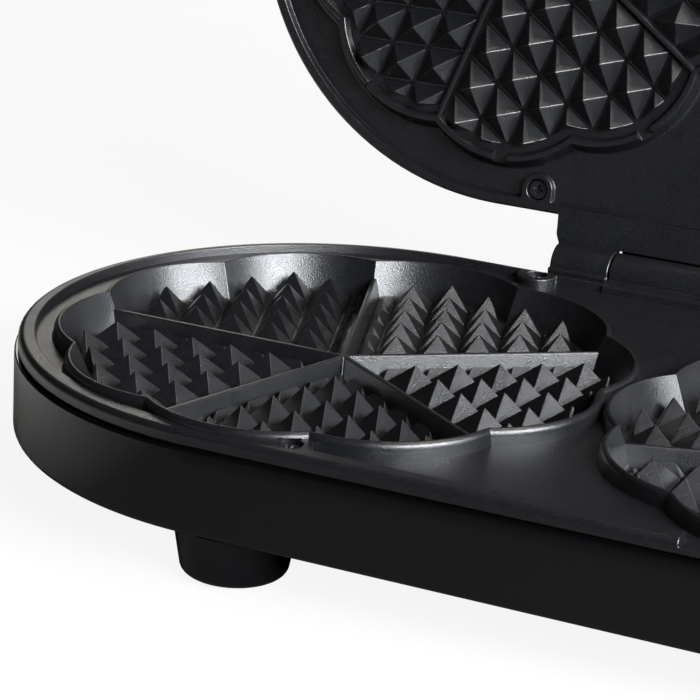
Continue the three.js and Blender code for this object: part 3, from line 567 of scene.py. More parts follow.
def heart_outline(hub, arc, z):
    """The hub, then the heart's two lobes."""
    x, y, turn = hub
    half_heart = math.radians(HEART_STEP / 2)
    axis = turn + 2 * half_heart

    def in_heart(point):
        angle = math.atan2(point[1] - y, point[0] - x)
        return abs(math.remainder(angle - axis, 2 * math.pi)) < half_heart

    points = rosette(hub, arc, z, HEART_CUSP, lobes=(1, 2))
    return [(x, y, z)] + [point for point in points if in_heart(point)]


print("a heart has", len(heart_outline(HUBS["left"], floor_arc, 0)), "points")

# %% [markdown]
# The steps of a field are the same in the cups and on the lid, where the apex lies below the
# foot and all is upside down. A gutter, where there is one, is cleared along both dividers
# by two bars. One heart is modelled, and four copies turn about the hub.

# %% A field of pyramids
PITCH, CELLS, FIRST_PEAK = 12.08, 8, 1.16
SKIRT, UNDER_FOOT, UNDER_GUTTER = 1.5, 0.9, 0.45
GUTTER_START, GUTTER_END = -10, 90


def pyramid_field(name, hub, start, foot, apex, arc, valley, ridge, gutter=0):
    x, y, turn = hub
    up = 1 if apex > foot else -1
    bpy.ops.mesh.primitive_grid_add(
        x_subdivisions=CELLS, y_subdivisions=CELLS, size=CELLS * PITCH,
        location=(start + (CELLS / 2 - 1) * PITCH,) * 2 + (0,),
    )
    field = named("field")
    first, second = (
        turn + math.radians(angle) for angle in (FIRST_DIVIDER, FIRST_DIVIDER + HEART_STEP)
    )
    field.data.transform(Matrix((
        (math.cos(first), math.cos(second), 0, x),
        (math.sin(first), math.sin(second), 0, y),
        (0, 0, 1, foot),
        (0, 0, 0, 1),
    )))
    pick(field, "FACE", lambda face: True)
    bpy.ops.mesh.inset(thickness=valley / 2, use_individual=True)
    bpy.ops.mesh.poke(offset=apex - foot)
    bpy.ops.mesh.select_all(action="SELECT")
    bpy.ops.mesh.region_to_loop()
    bpy.ops.mesh.extrude_edges_move(TRANSFORM_OT_translate={"value": (0, 0, -up * SKIRT)})
    bpy.ops.mesh.edge_face_add()
    done()
    outward(field)
    levels = sorted((foot - up * UNDER_FOOT, apex + up))
    carve(field, loft("heart", [heart_outline(hub, arc, z) for z in levels]), operation="INTERSECT")
    if gutter:
        levels = sorted((foot - up * UNDER_GUTTER, apex + up))
        for angle in (first, second):
            bar = block("bar", (GUTTER_START, GUTTER_END), (-gutter, gutter), levels)
            bar.data.transform(turned_at(x, y, angle))
            carve(field, bar)
    soften(field, ridge, segments=2, angle=20)
    return together(name, [field] + [
        copy_of(field, "field", turned_about(x, y, math.radians(HEART_STEP * k)))
        for k in range(1, HEARTS)
    ])


print("a block of", CELLS**2, "pyramids, one each", PITCH, "mm")

# %% [markdown]
# In the cups the pyramids stand high and close together, with sharp ridges. Their lattice
# starts half a step further out than the lid's, so that with the lid shut each peak stands
# between four of the other plate.

# %% Lower plate: pyramids
PYRAMID_RISE, PYRAMID_VALLEY, PYRAMID_RIDGE, GUTTER, FIELD_MARGIN = 7.1, 0.6, 0.22, 4.15, 2.2
for side, hub in HUBS.items():
    field = pyramid_field(
        "lower_pyramids_" + side, hub, FIRST_PEAK + PITCH / 2, CUP_FLOOR,
        CUP_FLOOR + PYRAMID_RISE, floor_arc - FIELD_MARGIN,
        valley=PYRAMID_VALLEY, ridge=PYRAMID_RIDGE, gutter=GUTTER,
    )
    hand_over(field, "base", "lower_casting", "lower_plate", smooth=25)

# %% [markdown]
# The hinge has one long barrel on the base and two short ones on the lid, which turn on a
# steel pin. The base's barrel hangs on a flat arm behind the ledge, a hair thinner than the
# ledge so that no two faces lie in one plane, and the pin's bore is cut last.

# %% Base barrel
HAIR, ARM_BACK, ARM_FRONT, BORE_BEYOND = 0.05, 2, 4, 9
barrel = rod("base_barrel", -MIDDLE_HALF, MIDDLE_HALF, BARREL)
arm = block(
    "arm", (-MIDDLE_HALF + HAIR, MIDDLE_HALF - HAIR), (BASE[0] - ARM_FRONT, HINGE.y - ARM_BACK),
    (FLANGE_UNDER + HAIR, LEDGE_TOP - HAIR),
)
carve(barrel, arm, operation="UNION")
bore = rod("bore", -MIDDLE_HALF - BORE_BEYOND, MIDDLE_HALF + BORE_BEYOND, PIN_RADIUS + FIT)
carve(barrel, bore)
soften(barrel, 0.45)
hand_over(barrel, "base", "lower_casting", "lower_plate")

# %% [markdown]
# The upper plate is the second casting. Its border, with tabs for the screws, stands over
# a recess, and at the rear a flat tongue carries the barrels. It is built like the lower
# plate, upside down.

# %% Upper plate: border
BORDER_ROUND, BORDER_STEP, BORDER_SOFT = 0.9, 1.9, 0.4
border = stadium("upper_border", LID, LID_EDGE, LID_FLANGE_TOP)
round_edge(border, LID_EDGE, -1, BORDER_ROUND, segments=5)
inset_and_push(border, 1, BORDER_STEP, SLAB_BACK - LID_FLANGE_TOP)
print("border:", len(border.data.polygons), "faces so far")

# %% [markdown]
# The tongue's outline narrows in a short curve to the hinge's width. It is a loft between two
# levels, with a relief cut from it where the base's barrel turns, and a block in the middle
# fills the corner between tongue and border.

# %% Upper plate: tongue
TONGUE_SPREAD, TONGUE_FRONT, RELIEF_FRONT, RELIEF_OVER, MIDDLE_OVERLAP = 1.4, 82, 89.5, 2, 3
HINGE_HALF = MIDDLE_HALF + KNUCKLE_GAP + OUTER_KNUCKLE
TONGUE_HALF = HINGE_HALF + TONGUE_SPREAD
sweep = [
    (TONGUE_HALF, TONGUE_FRONT), (TONGUE_HALF, 90.2), (TONGUE_HALF - 0.15, 91),
    (TONGUE_HALF - 0.45, 91.9), (HINGE_HALF + 0.45, 93), (HINGE_HALF + 0.1, 94),
    (HINGE_HALF, 95), (HINGE_HALF, HINGE.y),
]
outline = sweep + [(-x, y) for x, y in sweep[::-1]]
tongue = loft("tongue", [[(x, y, z) for x, y in outline] for z in (LID_EDGE, LID_FLANGE_TOP)])
relief = block(
    "relief", (-MIDDLE_HALF - KNUCKLE_GAP, MIDDLE_HALF + KNUCKLE_GAP),
    (RELIEF_FRONT, HINGE.y + OVERRUN), (LID_EDGE - RELIEF_OVER, LID_FLANGE_TOP + RELIEF_OVER),
)
carve(tongue, relief)
middle = block(
    "middle", (-MIDDLE_HALF - MIDDLE_OVERLAP, MIDDLE_HALF + MIDDLE_OVERLAP),
    (TONGUE_FRONT, HINGE.y - BARREL - KNUCKLE_GAP), (LID_EDGE, LID_FLANGE_TOP),
)
carve(border, tongue, middle, operation="UNION")
print("tongue:", round(2 * TONGUE_HALF, 1), "mm wide, the hinge", round(2 * HINGE_HALF, 1))

# %% [markdown]
# The recess is cut by a leaning stadium from which the tabs have first been taken: a round
# one at each screw, and a block that joins it to the border.

# %% Upper plate: recess and tabs
POCKET_INSET, POCKET_LEAN, POCKET_BELOW, TAB, TAB_DEPTH = 2.8, 0.8, 2, 5, 8
pocket = stadium(
    "pocket", (LID[0] - POCKET_INSET, LID[1], LID[2]), LID_EDGE - POCKET_BELOW, RECESS,
    LID[0] - POCKET_INSET - POCKET_LEAN,
)
tab_levels = (LID_EDGE - OVERRUN, RECESS + 1)
tabs = [cylinder("tab", x, y, *tab_levels, TAB) for x, y in LID_SCREWS]
for x, y in LID_SCREWS:
    tab_ys = sorted((y, y + math.copysign(TAB_DEPTH, y - HUB_Y)))
    tabs.append(block("tab", (x - TAB, x + TAB), tab_ys, tab_levels))
carve(pocket, *tabs)
carve(border, pocket, *[
    cylinder("hole", x, y, LID_EDGE - OVERRUN, LID_EDGE + HEAD_DEPTH, HEAD_HOLE, HOLE_STEPS)
    for x, y in LID_SCREWS
])
soften(border, BORDER_SOFT)
hand_over(border, "lid", "upper_casting", "upper_plate")

# %% [markdown]
# Behind the base's barrel a thin lip on the upper plate hides the slot in which the barrel
# turns, so that no light shows through the hinge when the lid is open.

# %% Upper plate: lip over the barrel
LIP_FRONT, LIP_BACK, LIP_SOFT, SHELF_LOW, SHELF_HIGH = 90.4, 92.2, 0.3, 6.9, 8.1
lip_xs = (-MIDDLE_HALF - 1, MIDDLE_HALF + 1)
shelf_top = HINGE.z + SHELF_HIGH
lip = block("hinge_lip", lip_xs, (LIP_FRONT, LIP_BACK), (LID_FLANGE_TOP - 1, shelf_top))
shelf = block("shelf", lip_xs, (LIP_FRONT, HINGE.y - 1), (HINGE.z + SHELF_LOW, shelf_top))
carve(lip, shelf, operation="UNION")
soften(lip, LIP_SOFT)
hand_over(lip, "lid", "upper_casting", "upper_plate")

# %% [markdown]
# The lid's two short barrels each carry a heel, a flat block that comes to rest against the
# base when the lid stands open. The heel is made upright and turned back by the angle
# through which the lid opens.

# %% Upper plate: barrels and heels
HEEL_BACK, HEEL_FRONT, HEEL_DROP = -7.05, -1.85, -14
stood_open = Matrix.Translation((0, HINGE.y, HINGE.z)) @ Matrix.Rotation(OPEN_ANGLE, 4, "X")
for side, word in ((-1, "left"), (1, "right")):
    start, end = sorted((side * (HINGE_HALF - OUTER_KNUCKLE), side * HINGE_HALF))
    barrel = rod("lid_barrel_" + word, start, end, BARREL)
    heel = block("heel", (start + HAIR, end - HAIR), (HEEL_BACK, HEEL_FRONT), (HEEL_DROP, 0))
    heel.data.transform(stood_open)
    carve(barrel, heel, operation="UNION")
    carve(barrel, rod("bore", start - BORE_BEYOND, end + BORE_BEYOND, PIN_RADIUS + FIT))
    soften(barrel, 0.5)
    hand_over(barrel, "lid", "upper_casting", "upper_plate")

# %% [markdown]
# On the lid, each rosette is a raised platform edged by a bead. The bead is broken at the
# middle of each lobe, where steam escapes. One slice through platform and bead gives the
# rings of the loft, and ten small blocks cut the breaks.

# %% Upper plate: platforms, dividers and pyramids
BEAD_REACH, BEAD_WIDTH, BEAD_LIP, BEAD_FLARE = 33.2, 2, 0.45, 1.66
BEAD_BREAK, BREAK_START, BREAK_END, BREAK_DROP = 4.5, 27, 37, 2
UPPER_REACH, UPPER_RISE, UPPER_MARGIN, UPPER_VALLEY, UPPER_RIDGE = 71.7, 5, 3.2, 1.1, 0.28

bead_in, bead_foot = BEAD_REACH - BEAD_WIDTH, BEAD_REACH + BEAD_FLARE
bead_level = BEAD_TIP + BEAD_LIP
bead_slice = [(bead_foot + 1.1, RECESS + 1), (bead_foot + 1.0, RECESS + 0.05)]
bead_slice += [(bead_foot + s, RECESS - z) for s, z in ((0.45, 0.1), (0.12, 0.35), (-0.12, 0.8))]
bead_slice += arc_points(BEAD_REACH - BEAD_LIP, bead_level, BEAD_LIP, -8, -90, 3)
bead_slice += arc_points(bead_in + BEAD_LIP, bead_level, BEAD_LIP, -90, -172, 3)
bead_slice += [(bead_in - s, PLATFORM - z) for s, z in ((0.5, 0.45), (0.65, 0.15), (1.0, 0))]
break_box = (
    (LOBE_OFFSET + BREAK_START, LOBE_OFFSET + BREAK_END), (-BEAD_BREAK / 2, BEAD_BREAK / 2),
    (BEAD_TIP - BREAK_DROP, PLATFORM),
)
for side, hub in HUBS.items():
    x, y, turn = hub
    platform = loft("upper_platform_" + side, [rosette(hub, arc, z) for arc, z in bead_slice])
    breaks = []
    for lobe in range(LOBES):
        gap = block("gap", *break_box)
        gap.data.transform(turned_at(x, y, turn + (2 * lobe + 1) * HALF_LOBE))
        breaks.append(gap)
    carve(platform, together("gaps", breaks))
    soften(platform, 0.2, segments=2, angle=50)
    hand_over(platform, "lid", "upper_casting", "upper_plate")
    star = dividers("upper_dividers_" + side, hub, BEAD_TIP, PLATFORM, UPPER_REACH)
    hand_over(star, "lid", "upper_casting", "upper_plate")
    field = pyramid_field(
        "upper_pyramids_" + side, hub, FIRST_PEAK, PLATFORM, PLATFORM - UPPER_RISE,
        bead_in - UPPER_MARGIN, valley=UPPER_VALLEY, ridge=UPPER_RIDGE,
    )
    hand_over(field, "lid", "upper_casting", "upper_plate", smooth=25)

# %% [markdown]
# The base housing is a glossy moulded tub. From the stadium, the foot edge gets a round
# bevel and the rim a small one; the top is inset by the wall and pushed down to the floor.
# Slots under each heater let air in, and a round hole behind takes the cord's gland.

# %% Base housing
WALL, FLOOR_THICK, TUB_ROUND = 2.2, 2.5, 2
SLOT_PITCH, SLOT_HALF, SLOT_REACH, SLOT_ABOVE, SLOTS_EACH_SIDE = 12, 1.5, 19, 5, 2
GLAND_X, GLAND_Z, GLAND_HOLE = 74, 26, 5.5

tub = stadium("base_shell", (HOUSING_RADIUS, BASE[1], 0), TABLE_TO_HOUSING, HOUSING_RIM)
round_edge(tub, TABLE_TO_HOUSING, -1, TUB_ROUND, segments=6)
inset_and_push(tub, 1, WALL, TABLE_TO_HOUSING + FLOOR_THICK - HOUSING_RIM)
slot_ys = (HUB_Y - SLOT_REACH, HUB_Y + SLOT_REACH)
slot_levels = (TABLE_TO_HOUSING - OVERRUN, TABLE_TO_HOUSING + SLOT_ABOVE)
slots = [
    block("slot", (middle - SLOT_HALF, middle + SLOT_HALF), slot_ys, slot_levels)
    for x in (-HUB_X, HUB_X)
    for middle in [x + k * SLOT_PITCH for k in range(-SLOTS_EACH_SIDE, SLOTS_EACH_SIDE + 1)]
]
carve(tub, together("slots", slots))
bpy.ops.mesh.primitive_cylinder_add(
    vertices=48, radius=GLAND_HOLE, depth=4 * WALL,
    location=(GLAND_X, HOUSING_RADIUS, GLAND_Z), rotation=(math.pi / 2, 0, 0),
)
carve(tub, named("entry"))
soften(tub, 0.5, angle=50)
hand_over(tub, "base", "housing_plastic", "base_housing")

# %% [markdown]
# Round pieces are turned, as on a lathe: a profile of (radius, height) is drawn as a line
# and Spin carries it once round. The feet, the pads, the lenses and the screw heads are
# made so. A foot tapers to a rounded edge and is hollow enough below to hold its pad.


# %% Turned pieces: feet and pads
def lathe(name, profile, place=(0, 0, 0), steps=64, turn=Matrix()):
    mesh = bpy.data.meshes.new(name)
    links = [(k, k + 1) for k in range(len(profile) - 1)]
    mesh.from_pydata([(r, 0, z) for r, z in profile], links, [])
    piece = bpy.data.objects.new(name, mesh)
    scene.collection.objects.link(piece)
    pick(piece, "EDGE", lambda edge: True)
    bpy.ops.mesh.spin(steps=steps, angle=2 * math.pi, center=(0, 0, 0), axis=(0, 0, 1))
    bpy.ops.mesh.select_all(action="SELECT")
    bpy.ops.mesh.remove_doubles(threshold=0.001)
    bpy.ops.mesh.normals_make_consistent(inside=False)
    done()
    piece.data.transform(Matrix.Translation(place) @ turn)
    return piece


FOOT_X, FOOT_Y = 78.75, 74.05
FOOT_EDGE, FOOT_ROUND, FOOT_TOP_RADIUS, FOOT_TOP = 11.6, 3, 16.6, 15.2
foot_profile = [(0, 2.1), (10.8, 2.1), (10.8, 0.8), (FOOT_EDGE, 0.8)]
foot_profile += arc_points(FOOT_EDGE, 0.8 + FOOT_ROUND, FOOT_ROUND, -90, -4, 7)
foot_profile += [(FOOT_TOP_RADIUS, FOOT_TOP), (0, FOOT_TOP)]
pad_profile = [(0, 0), (9.9, 0), (10.3, 0.2), (10.5, 0.6), (10.5, 1.8), (0, 1.8)]
for row, y in (("front", -FOOT_Y), ("rear", FOOT_Y)):
    for side, x in (("left", -FOOT_X), ("right", FOOT_X)):
        foot = lathe(f"foot_shell_{row}_{side}", foot_profile, (x, y, 0), 72)
        hand_over(foot, "base", "foot_plastic", f"foot_{row}_{side}")
        pad = lathe(f"pad_{row}_{side}", pad_profile, (x, y, 0))
        hand_over(pad, "base", "pad_rubber", f"foot_pad_{row}_{side}")

# %% [markdown]
# The lid's housing is a glossy shell with a softly crowned back. Its outline shrinks by
# equal steps inward all round, which scaling can't do on a stadium, but Inset can: a run
# of insets, each pushed up a little less, makes the round shoulder and then the low crown.
# The inner face goes through the same steps, with the wall taken off the round.

# %% Lid housing
CROWN_ROUND, CROWN_INSET, CROWN_RISE, LID_DRAFT = 11.8, 34, 1.4, 0.8
ROUND_STEPS, CROWN_STEPS = 8, 4
WINDOW, WINDOW_TOP, LAMP_INSET, LAMP_X = 3, 81, 27, 9


def step_inward(piece, test, radius, sign, crown):
    """A quarter round, then a low crown, from the face that passes the test."""
    pick(piece, "FACE", test)
    for k in range(ROUND_STEPS):
        a, b = (math.pi / 2 * n / ROUND_STEPS for n in (k, k + 1))
        bpy.ops.mesh.inset(
            thickness=radius * (math.cos(a) - math.cos(b)),
            depth=sign * radius * (math.sin(b) - math.sin(a)),
        )
    for k in range(CROWN_STEPS):
        rise = CROWN_RISE * ((1 - (k / CROWN_STEPS))**2 - (1 - (k + 1) / CROWN_STEPS)**2)
        bpy.ops.mesh.inset(thickness=crown / CROWN_STEPS, depth=sign * rise)
    done()


shell = stadium(
    "lid_shell", (HOUSING_RADIUS, LID[1], LID[2]), LID_RIM, LID_SHOULDER,
    HOUSING_RADIUS - LID_DRAFT,
)
crown_reach = CROWN_INSET - CROWN_ROUND
step_inward(shell, lambda face: face.normal.z > FLAT_NORMAL, CROWN_ROUND, 1, crown_reach)
inset_and_push(shell, -1, WALL, LID_SHOULDER - LID_RIM)
step_inward(
    shell,
    lambda face: face.normal.z < -FLAT_NORMAL and face.calc_center_median().z > LID_SHOULDER - 1,
    CROWN_ROUND - WALL, -1, crown_reach,
)
LAMP_Y = HUB_Y - HOUSING_RADIUS + LAMP_INSET
carve(shell, *[
    cylinder("window", side * LAMP_X, LAMP_Y, LID_SHOULDER, WINDOW_TOP, WINDOW)
    for side in (-1, 1)
])
soften(shell, 0.4, angle=60)
hand_over(shell, "lid", "housing_plastic", "lid_housing")

# %% [markdown]
# The handle is a lip that the hand takes from below: one section, hollow underneath for
# the fingers, that swells from each end to the middle. It is a loft of that section. A
# smooth curve through a dozen guide points gives the section: it is a cubic between each
# two of them, and its slope at a point comes from that point's two neighbours.

# %% Lid handle
HANDLE_HALF, HANDLE_REACH, HANDLE_THICK, HANDLE_STEPS = 48, 29.9, 13, 24
END_SWELL, MORE_SWELL, END_THIN, CURVE_STEPS = 0.32, 0.68, 0.9, 5
handle_top = LID_SHOULDER - 2
handle_root = HUB_Y - HOUSING_RADIUS - FIT
section_shares = [
    (0, 1), (0.35, 0.98), (0.7, 0.9), (0.92, 0.78), (1, 0.6), (0.96, 0.42),
    (0.84, 0.4), (0.6, 0.52), (0.35, 0.46), (0.18, 0.2), (0.08, 0), (0, 0),
]


def smooth_through(points, steps):
    """A curve through the points, from the first to the last."""
    ends = [points[0]] + points + [points[-1]]
    curve = []
    for a, b, c, d in zip(ends, ends[1:], ends[2:], ends[3:]):
        for t in [k / steps for k in range(steps)]:
            curve.append(tuple(
                b[n] + 0.5 * t * (c[n] - a[n] + t * (2 * a[n] - 5 * b[n] + 4 * c[n] - d[n]
                                                     + t * (3 * b[n] - a[n] - 3 * c[n] + d[n])))
                for n in (0, 1)
            ))
    return curve + [points[-1]]


section = [
    (min(max(u, 0), 1), min(max(v, 0), 1))
    for u, v in smooth_through(section_shares[:-1], CURVE_STEPS)
]
section.append(section_shares[-1])
rings = []
for k in range(-HANDLE_STEPS, HANDLE_STEPS + 1):
    along = math.sin(math.radians(90 * k / HANDLE_STEPS))
    swell = END_SWELL + MORE_SWELL * math.sqrt(1 - along**4)
    thin = 1 if abs(k) < HANDLE_STEPS else END_THIN
    rings.append([
        (along * HANDLE_HALF, handle_root - out * HANDLE_REACH * swell * thin,
         handle_top - HANDLE_THICK * (0.5 + (0.5 - up) * thin))
        for out, up in section
    ])
grip = loft("lid_grip", rings)
hand_over(grip, "lid", "handle_plastic", "lid_handle", smooth=50)

# %% [markdown]
# The screws have flat heads sunk in the bosses, with a cross recess. One is modelled: the
# head and shank are turned, and two small tapered bars crossed at right angles cut the
# recess. Each of the eight that show gets its own copy, turned by a different angle, as
# nobody lines screws up.

# %% Screws
HEAD_SINK, CROSS_REACH, CROSS_HALF, CROSS_DEPTH = 1.1, 2, 0.5, -1.3
head_profile = [
    (0, 0), (2.6, 0), (2.9, -0.12), (3, -0.35), (2.9, -0.6), (1.5, -1.2), (1.5, -18), (0, -18),
]
screw = lathe("screw", head_profile[::-1], steps=40)
for angle in (0, math.pi / 2):
    bar = block(
        "bar", (-CROSS_REACH, CROSS_REACH), (-CROSS_HALF, CROSS_HALF), (CROSS_DEPTH, 0.5),
    )
    resized(bar, lambda vert: vert.co.z < 0, (0.3, 0.6, 1), (0, 0, CROSS_DEPTH))
    bar.data.transform(Matrix.Rotation(angle, 4, "Z"))
    carve(screw, bar)
soften(screw, 0.08, segments=2, angle=50)
upside_down = Matrix.Rotation(math.pi, 4, "X")
for k, (x, y) in enumerate(BASE_SCREWS):
    place = Matrix.Translation((x, y, LEDGE_TOP - HEAD_SINK))
    place = place @ Matrix.Rotation(0.5 + 1.1 * k, 4, "Z")
    piece = copy_of(screw, f"ledge_screw_{k + 1}", place)
    hand_over(piece, "base", "black_steel", f"plate_screw_{k + 1}")
for k, (x, y) in enumerate(LID_SCREWS):
    place = Matrix.Translation((x, y, LID_EDGE + HEAD_SINK))
    place = place @ upside_down @ Matrix.Rotation(0.3 + 1.3 * k, 4, "Z")
    piece = copy_of(screw, f"border_screw_{k + 1}", place)
    hand_over(piece, "lid", "black_steel", f"lid_screw_{k + 1}")
bpy.data.objects.remove(screw)

# %% [markdown]
# Two small lamps look out of the lid's back, and a rubber gland closes the hole where the
# cord would enter. All three are turned. A lens is a dome on a flange, which seats against
# the crown from inside; the gland is two flanges with a neck between them.

# %% Lenses and gland
LENS_FLANGE, LENS_RADIUS, FLANGE_THICK, DOME_FOOT, DOME_RISE = 4, 2.7, 1.2, 3.6, 1.1
GLAND_BORE, GLAND_NECK, GLAND_FLANGE, GLAND_LIP = 3.6, 5.2, 7.5, 1.5

lens_profile = [
    (0, 0), (LENS_FLANGE, 0), (LENS_FLANGE, FLANGE_THICK), (LENS_RADIUS, FLANGE_THICK),
    (LENS_RADIUS, DOME_FOOT),
]
lens_profile += [
    (LENS_RADIUS * math.cos(a), DOME_FOOT + DOME_RISE * math.sin(a))
    for a in [math.radians(15 * k) for k in range(1, 6)]
]
lens_profile.append((0, DOME_FOOT + DOME_RISE))
crown_slope = CROWN_RISE / (CROWN_INSET - CROWN_ROUND + WALL)
flat_reach = LAMP_INSET - LENS_FLANGE - LID_DRAFT - CROWN_ROUND
lamp_seat = LID_SHOULDER + CROWN_ROUND - WALL - FIT + crown_slope * flat_reach
for side, word, slot in ((-1, "power", "red_lens"), (1, "ready", "green_lens")):
    place = (side * LAMP_X, LAMP_Y, lamp_seat - FLANGE_THICK)
    hand_over(lathe(word + "_lens", lens_profile, place, 40), "lid", slot, word + "_lamp_lens")

inner, outer = HOUSING_RADIUS - WALL - FIT, HOUSING_RADIUS + FIT
gland_profile = [
    (GLAND_BORE, inner - GLAND_LIP), (GLAND_FLANGE, inner - GLAND_LIP), (GLAND_FLANGE, inner),
    (GLAND_NECK, inner), (GLAND_NECK, outer), (GLAND_FLANGE, outer), (GLAND_FLANGE, outer + 0.5),
    (7.1, outer + 1.2), (6.4, outer + GLAND_LIP), (4.2, outer + GLAND_LIP), (3.8, outer + 1.3),
    (GLAND_BORE, outer + 0.9), (GLAND_BORE, inner - GLAND_LIP),
]
gland = lathe(
    "cord_sleeve", gland_profile, (GLAND_X, 0, GLAND_Z), 48, Matrix.Rotation(-math.pi / 2, 4, "X"),
)
hand_over(gland, "base", "gland_rubber", "cord_gland")

# %% [markdown]
# A material is a small machine of nodes. To read like arithmetic, a socket is wrapped in a
# class whose operators add Math nodes, and one method adds every other kind of node.


# %% Shader arithmetic
class Wire:
    """An output socket that Python's operators work on."""

    def __init__(self, nodes, socket):
        self.nodes = nodes
        self.socket = socket

    def __add__(self, other):
        return self.nodes.math("ADD", self, other)

    def __radd__(self, other):
        return self.nodes.math("ADD", other, self)

    def __sub__(self, other):
        return self.nodes.math("SUBTRACT", self, other)

    def __rsub__(self, other):
        return self.nodes.math("SUBTRACT", other, self)

    def __mul__(self, other):
        return self.nodes.math("MULTIPLY", self, other)

    def __rmul__(self, other):
        return self.nodes.math("MULTIPLY", other, self)


class Nodes:
    """The tree of a material or of the world."""

    def __init__(self, owner):
        owner.use_nodes = True
        self.tree = owner.node_tree

    def add(self, kind, settings=None, inputs=None, output=0):
        node = self.tree.nodes.new("ShaderNode" + kind)
        for name, value in (settings or {}).items():
            setattr(node, name, value)
        for name, value in (inputs or {}).items():
            self.plug(node.inputs[name], value)
        return Wire(self, node.outputs[output])

    def plug(self, socket, value):
        if isinstance(value, Wire):
            self.tree.links.new(value.socket, socket)
        else:
            socket.default_value = value

    def math(self, operation, first, second):
        return self.add("Math", {"operation": operation}, {0: first, 1: second})

    def seen_or_lit(self, output, lit, seen):
        """What the camera sees and what lights the object are two shaders."""
        to_camera = self.add("LightPath", output="Is Camera Ray")
        both = self.add("MixShader", {}, {0: to_camera, 1: lit, 2: seen})
        self.plug(self.tree.nodes[output].inputs["Surface"], both)


print("sockets can be added, subtracted and multiplied, from either side")

# %% [markdown]
# Every finish of the machine is a Principled shader whose colour, gloss or grain a little
# noise varies. The class keeps what all of them need: noise of a given size in metres, a
# value brought into another range, a blend of two colours, and bump.


# %% A class for finishes
class Finish(Nodes):
    """A Principled material, and the nodes that feed it."""

    def __init__(self, name, color, roughness, **sockets):
        self.material = bpy.data.materials.new(name)
        super().__init__(self.material)
        self.shader = self.tree.nodes["Principled BSDF"]
        self.set("Base Color", (*color, 1))
        self.set("Roughness", roughness)
        for socket, value in sockets.items():
            self.set(socket.replace("_", " "), value)
        self.place = self.add("TexCoord", output="Object")

    def set(self, socket, value):
        self.plug(self.shader.inputs[socket], value)

    def noise(self, size, detail=2, roughness=0.5):
        inputs = {
            "Vector": self.place, "Scale": 1 / size, "Detail": detail, "Roughness": roughness,
        }
        return self.add("TexNoise", {"normalize": True}, inputs, "Fac")

    def between(self, value, low, high, out_low=0, out_high=1):
        inputs = {"Value": value, "From Min": low, "From Max": high}
        inputs |= {"To Min": out_low, "To Max": out_high}
        return self.add("MapRange", {"clamp": True}, inputs)

    def blend(self, share, first, second):
        mix = self.tree.nodes.new("ShaderNodeMix")
        mix.data_type = "RGBA"
        sockets = {socket.name: socket for socket in mix.inputs if socket.enabled}
        self.plug(sockets["Factor"], share)
        self.plug(sockets["A"], (*first, 1))
        self.plug(sockets["B"], (*second, 1))
        return Wire(self, next(socket for socket in mix.outputs if socket.enabled))

    def bump(self, height, depth, strength=1.0):
        inputs = {"Height": height, "Distance": depth, "Strength": strength}
        self.set("Normal", self.add("Bump", {}, inputs))


print("a finish is", Finish.__doc__[:-1].lower())

# %% [markdown]
# The floor and the backdrop look white to the camera, but a white floor all round would
# wash out the black machine. So the camera sees nine parts of glow to one of paper, which
# keeps the shadow, while the object is lit by a dim paper with painted shade and light on it:
# painted dark in front, where the glossy side mirrors it, and painted pale on the left.
# The world does the same with two strengths.

# %% Floor and backdrop
WHITE, DIM, GLOW_SHARE, FLOOR_SIZE = 1.0, 0.015, 0.9, 8
# The floor's painted shade in front and painted light on the left, seen only by rays that are not
# the camera's.
FRONT_START, FRONT_END, PAINTED_FRONT_SHADE, REAR_SHADE = -0.216, -0.206, 0.035, 0.13
LEFT_START, LEFT_END, PAINTED_LEFT_LIGHT = -0.26, -0.16, 0.62

world = bpy.data.worlds.new("studio")
scene.world = world
air = Nodes(world)
air.tree.nodes.remove(air.tree.nodes["Background"])
dim = air.add("Background", {}, {"Color": (1, 1, 1, 1), "Strength": DIM})
white = air.add("Background", {}, {"Color": (1, 1, 1, 1), "Strength": WHITE})
air.seen_or_lit("World Output", dim, white)

bpy.ops.mesh.primitive_plane_add(size=FLOOR_SIZE, location=(0, 0, 0))
floor = bpy.context.object
floor.name = "floor"
paper = Finish("floor_paper", (0.8, 0.8, 0.8), 1)
x, y = (paper.add("SeparateXYZ", {}, {0: paper.place}, axis) for axis in "XY")
# Painted shade: the floor is painted darker in front, where the glossy side mirrors it.
front = paper.between(y, FRONT_START, FRONT_END, PAINTED_FRONT_SHADE, REAR_SHADE)
# Painted light: the floor is painted paler on the left, for the object's reflections and lighting.
left = paper.between(x, LEFT_START, LEFT_END, 1, 0)
painted_shade_and_light = front * (1 - left) + PAINTED_LEFT_LIGHT * left
dim_paper = paper.add("BsdfDiffuse", {}, {"Color": painted_shade_and_light})
glow = paper.add("Emission", {}, {"Strength": WHITE})
bright_paper = paper.add("MixShader", {}, {
    0: GLOW_SHARE, 1: Wire(paper, paper.shader.outputs[0]), 2: glow,
})
paper.seen_or_lit("Material Output", dim_paper, bright_paper)
floor.data.materials.append(paper.material)
print("floor:", FLOOR_SIZE, "m, lit by the world at", DIM)

# %% [markdown]
# Three soft boxes light it. The wide key box stands low on the right and in front, and puts
# the long highlights on the walls of the cups and the pyramids; a small warm one above fills
# the cups, and a weak one behind draws the edge of the lid.

# %% Lamps
TARGET = (0, 0, 0.05)


def lamp(name, place, target, size, power, color):
    light = bpy.data.lights.new(name, "AREA")
    light.shape = "RECTANGLE"
    light.size, light.size_y = size
    light.energy = power
    light.color = color
    holder = bpy.data.objects.new(name, light)
    scene.collection.objects.link(holder)
    holder.location = place
    holder.rotation_mode = "QUATERNION"
    holder.rotation_quaternion = (Vector(target) - Vector(place)).to_track_quat("-Z", "Y")
    holder.visible_camera = False
    print(name, power, "W")


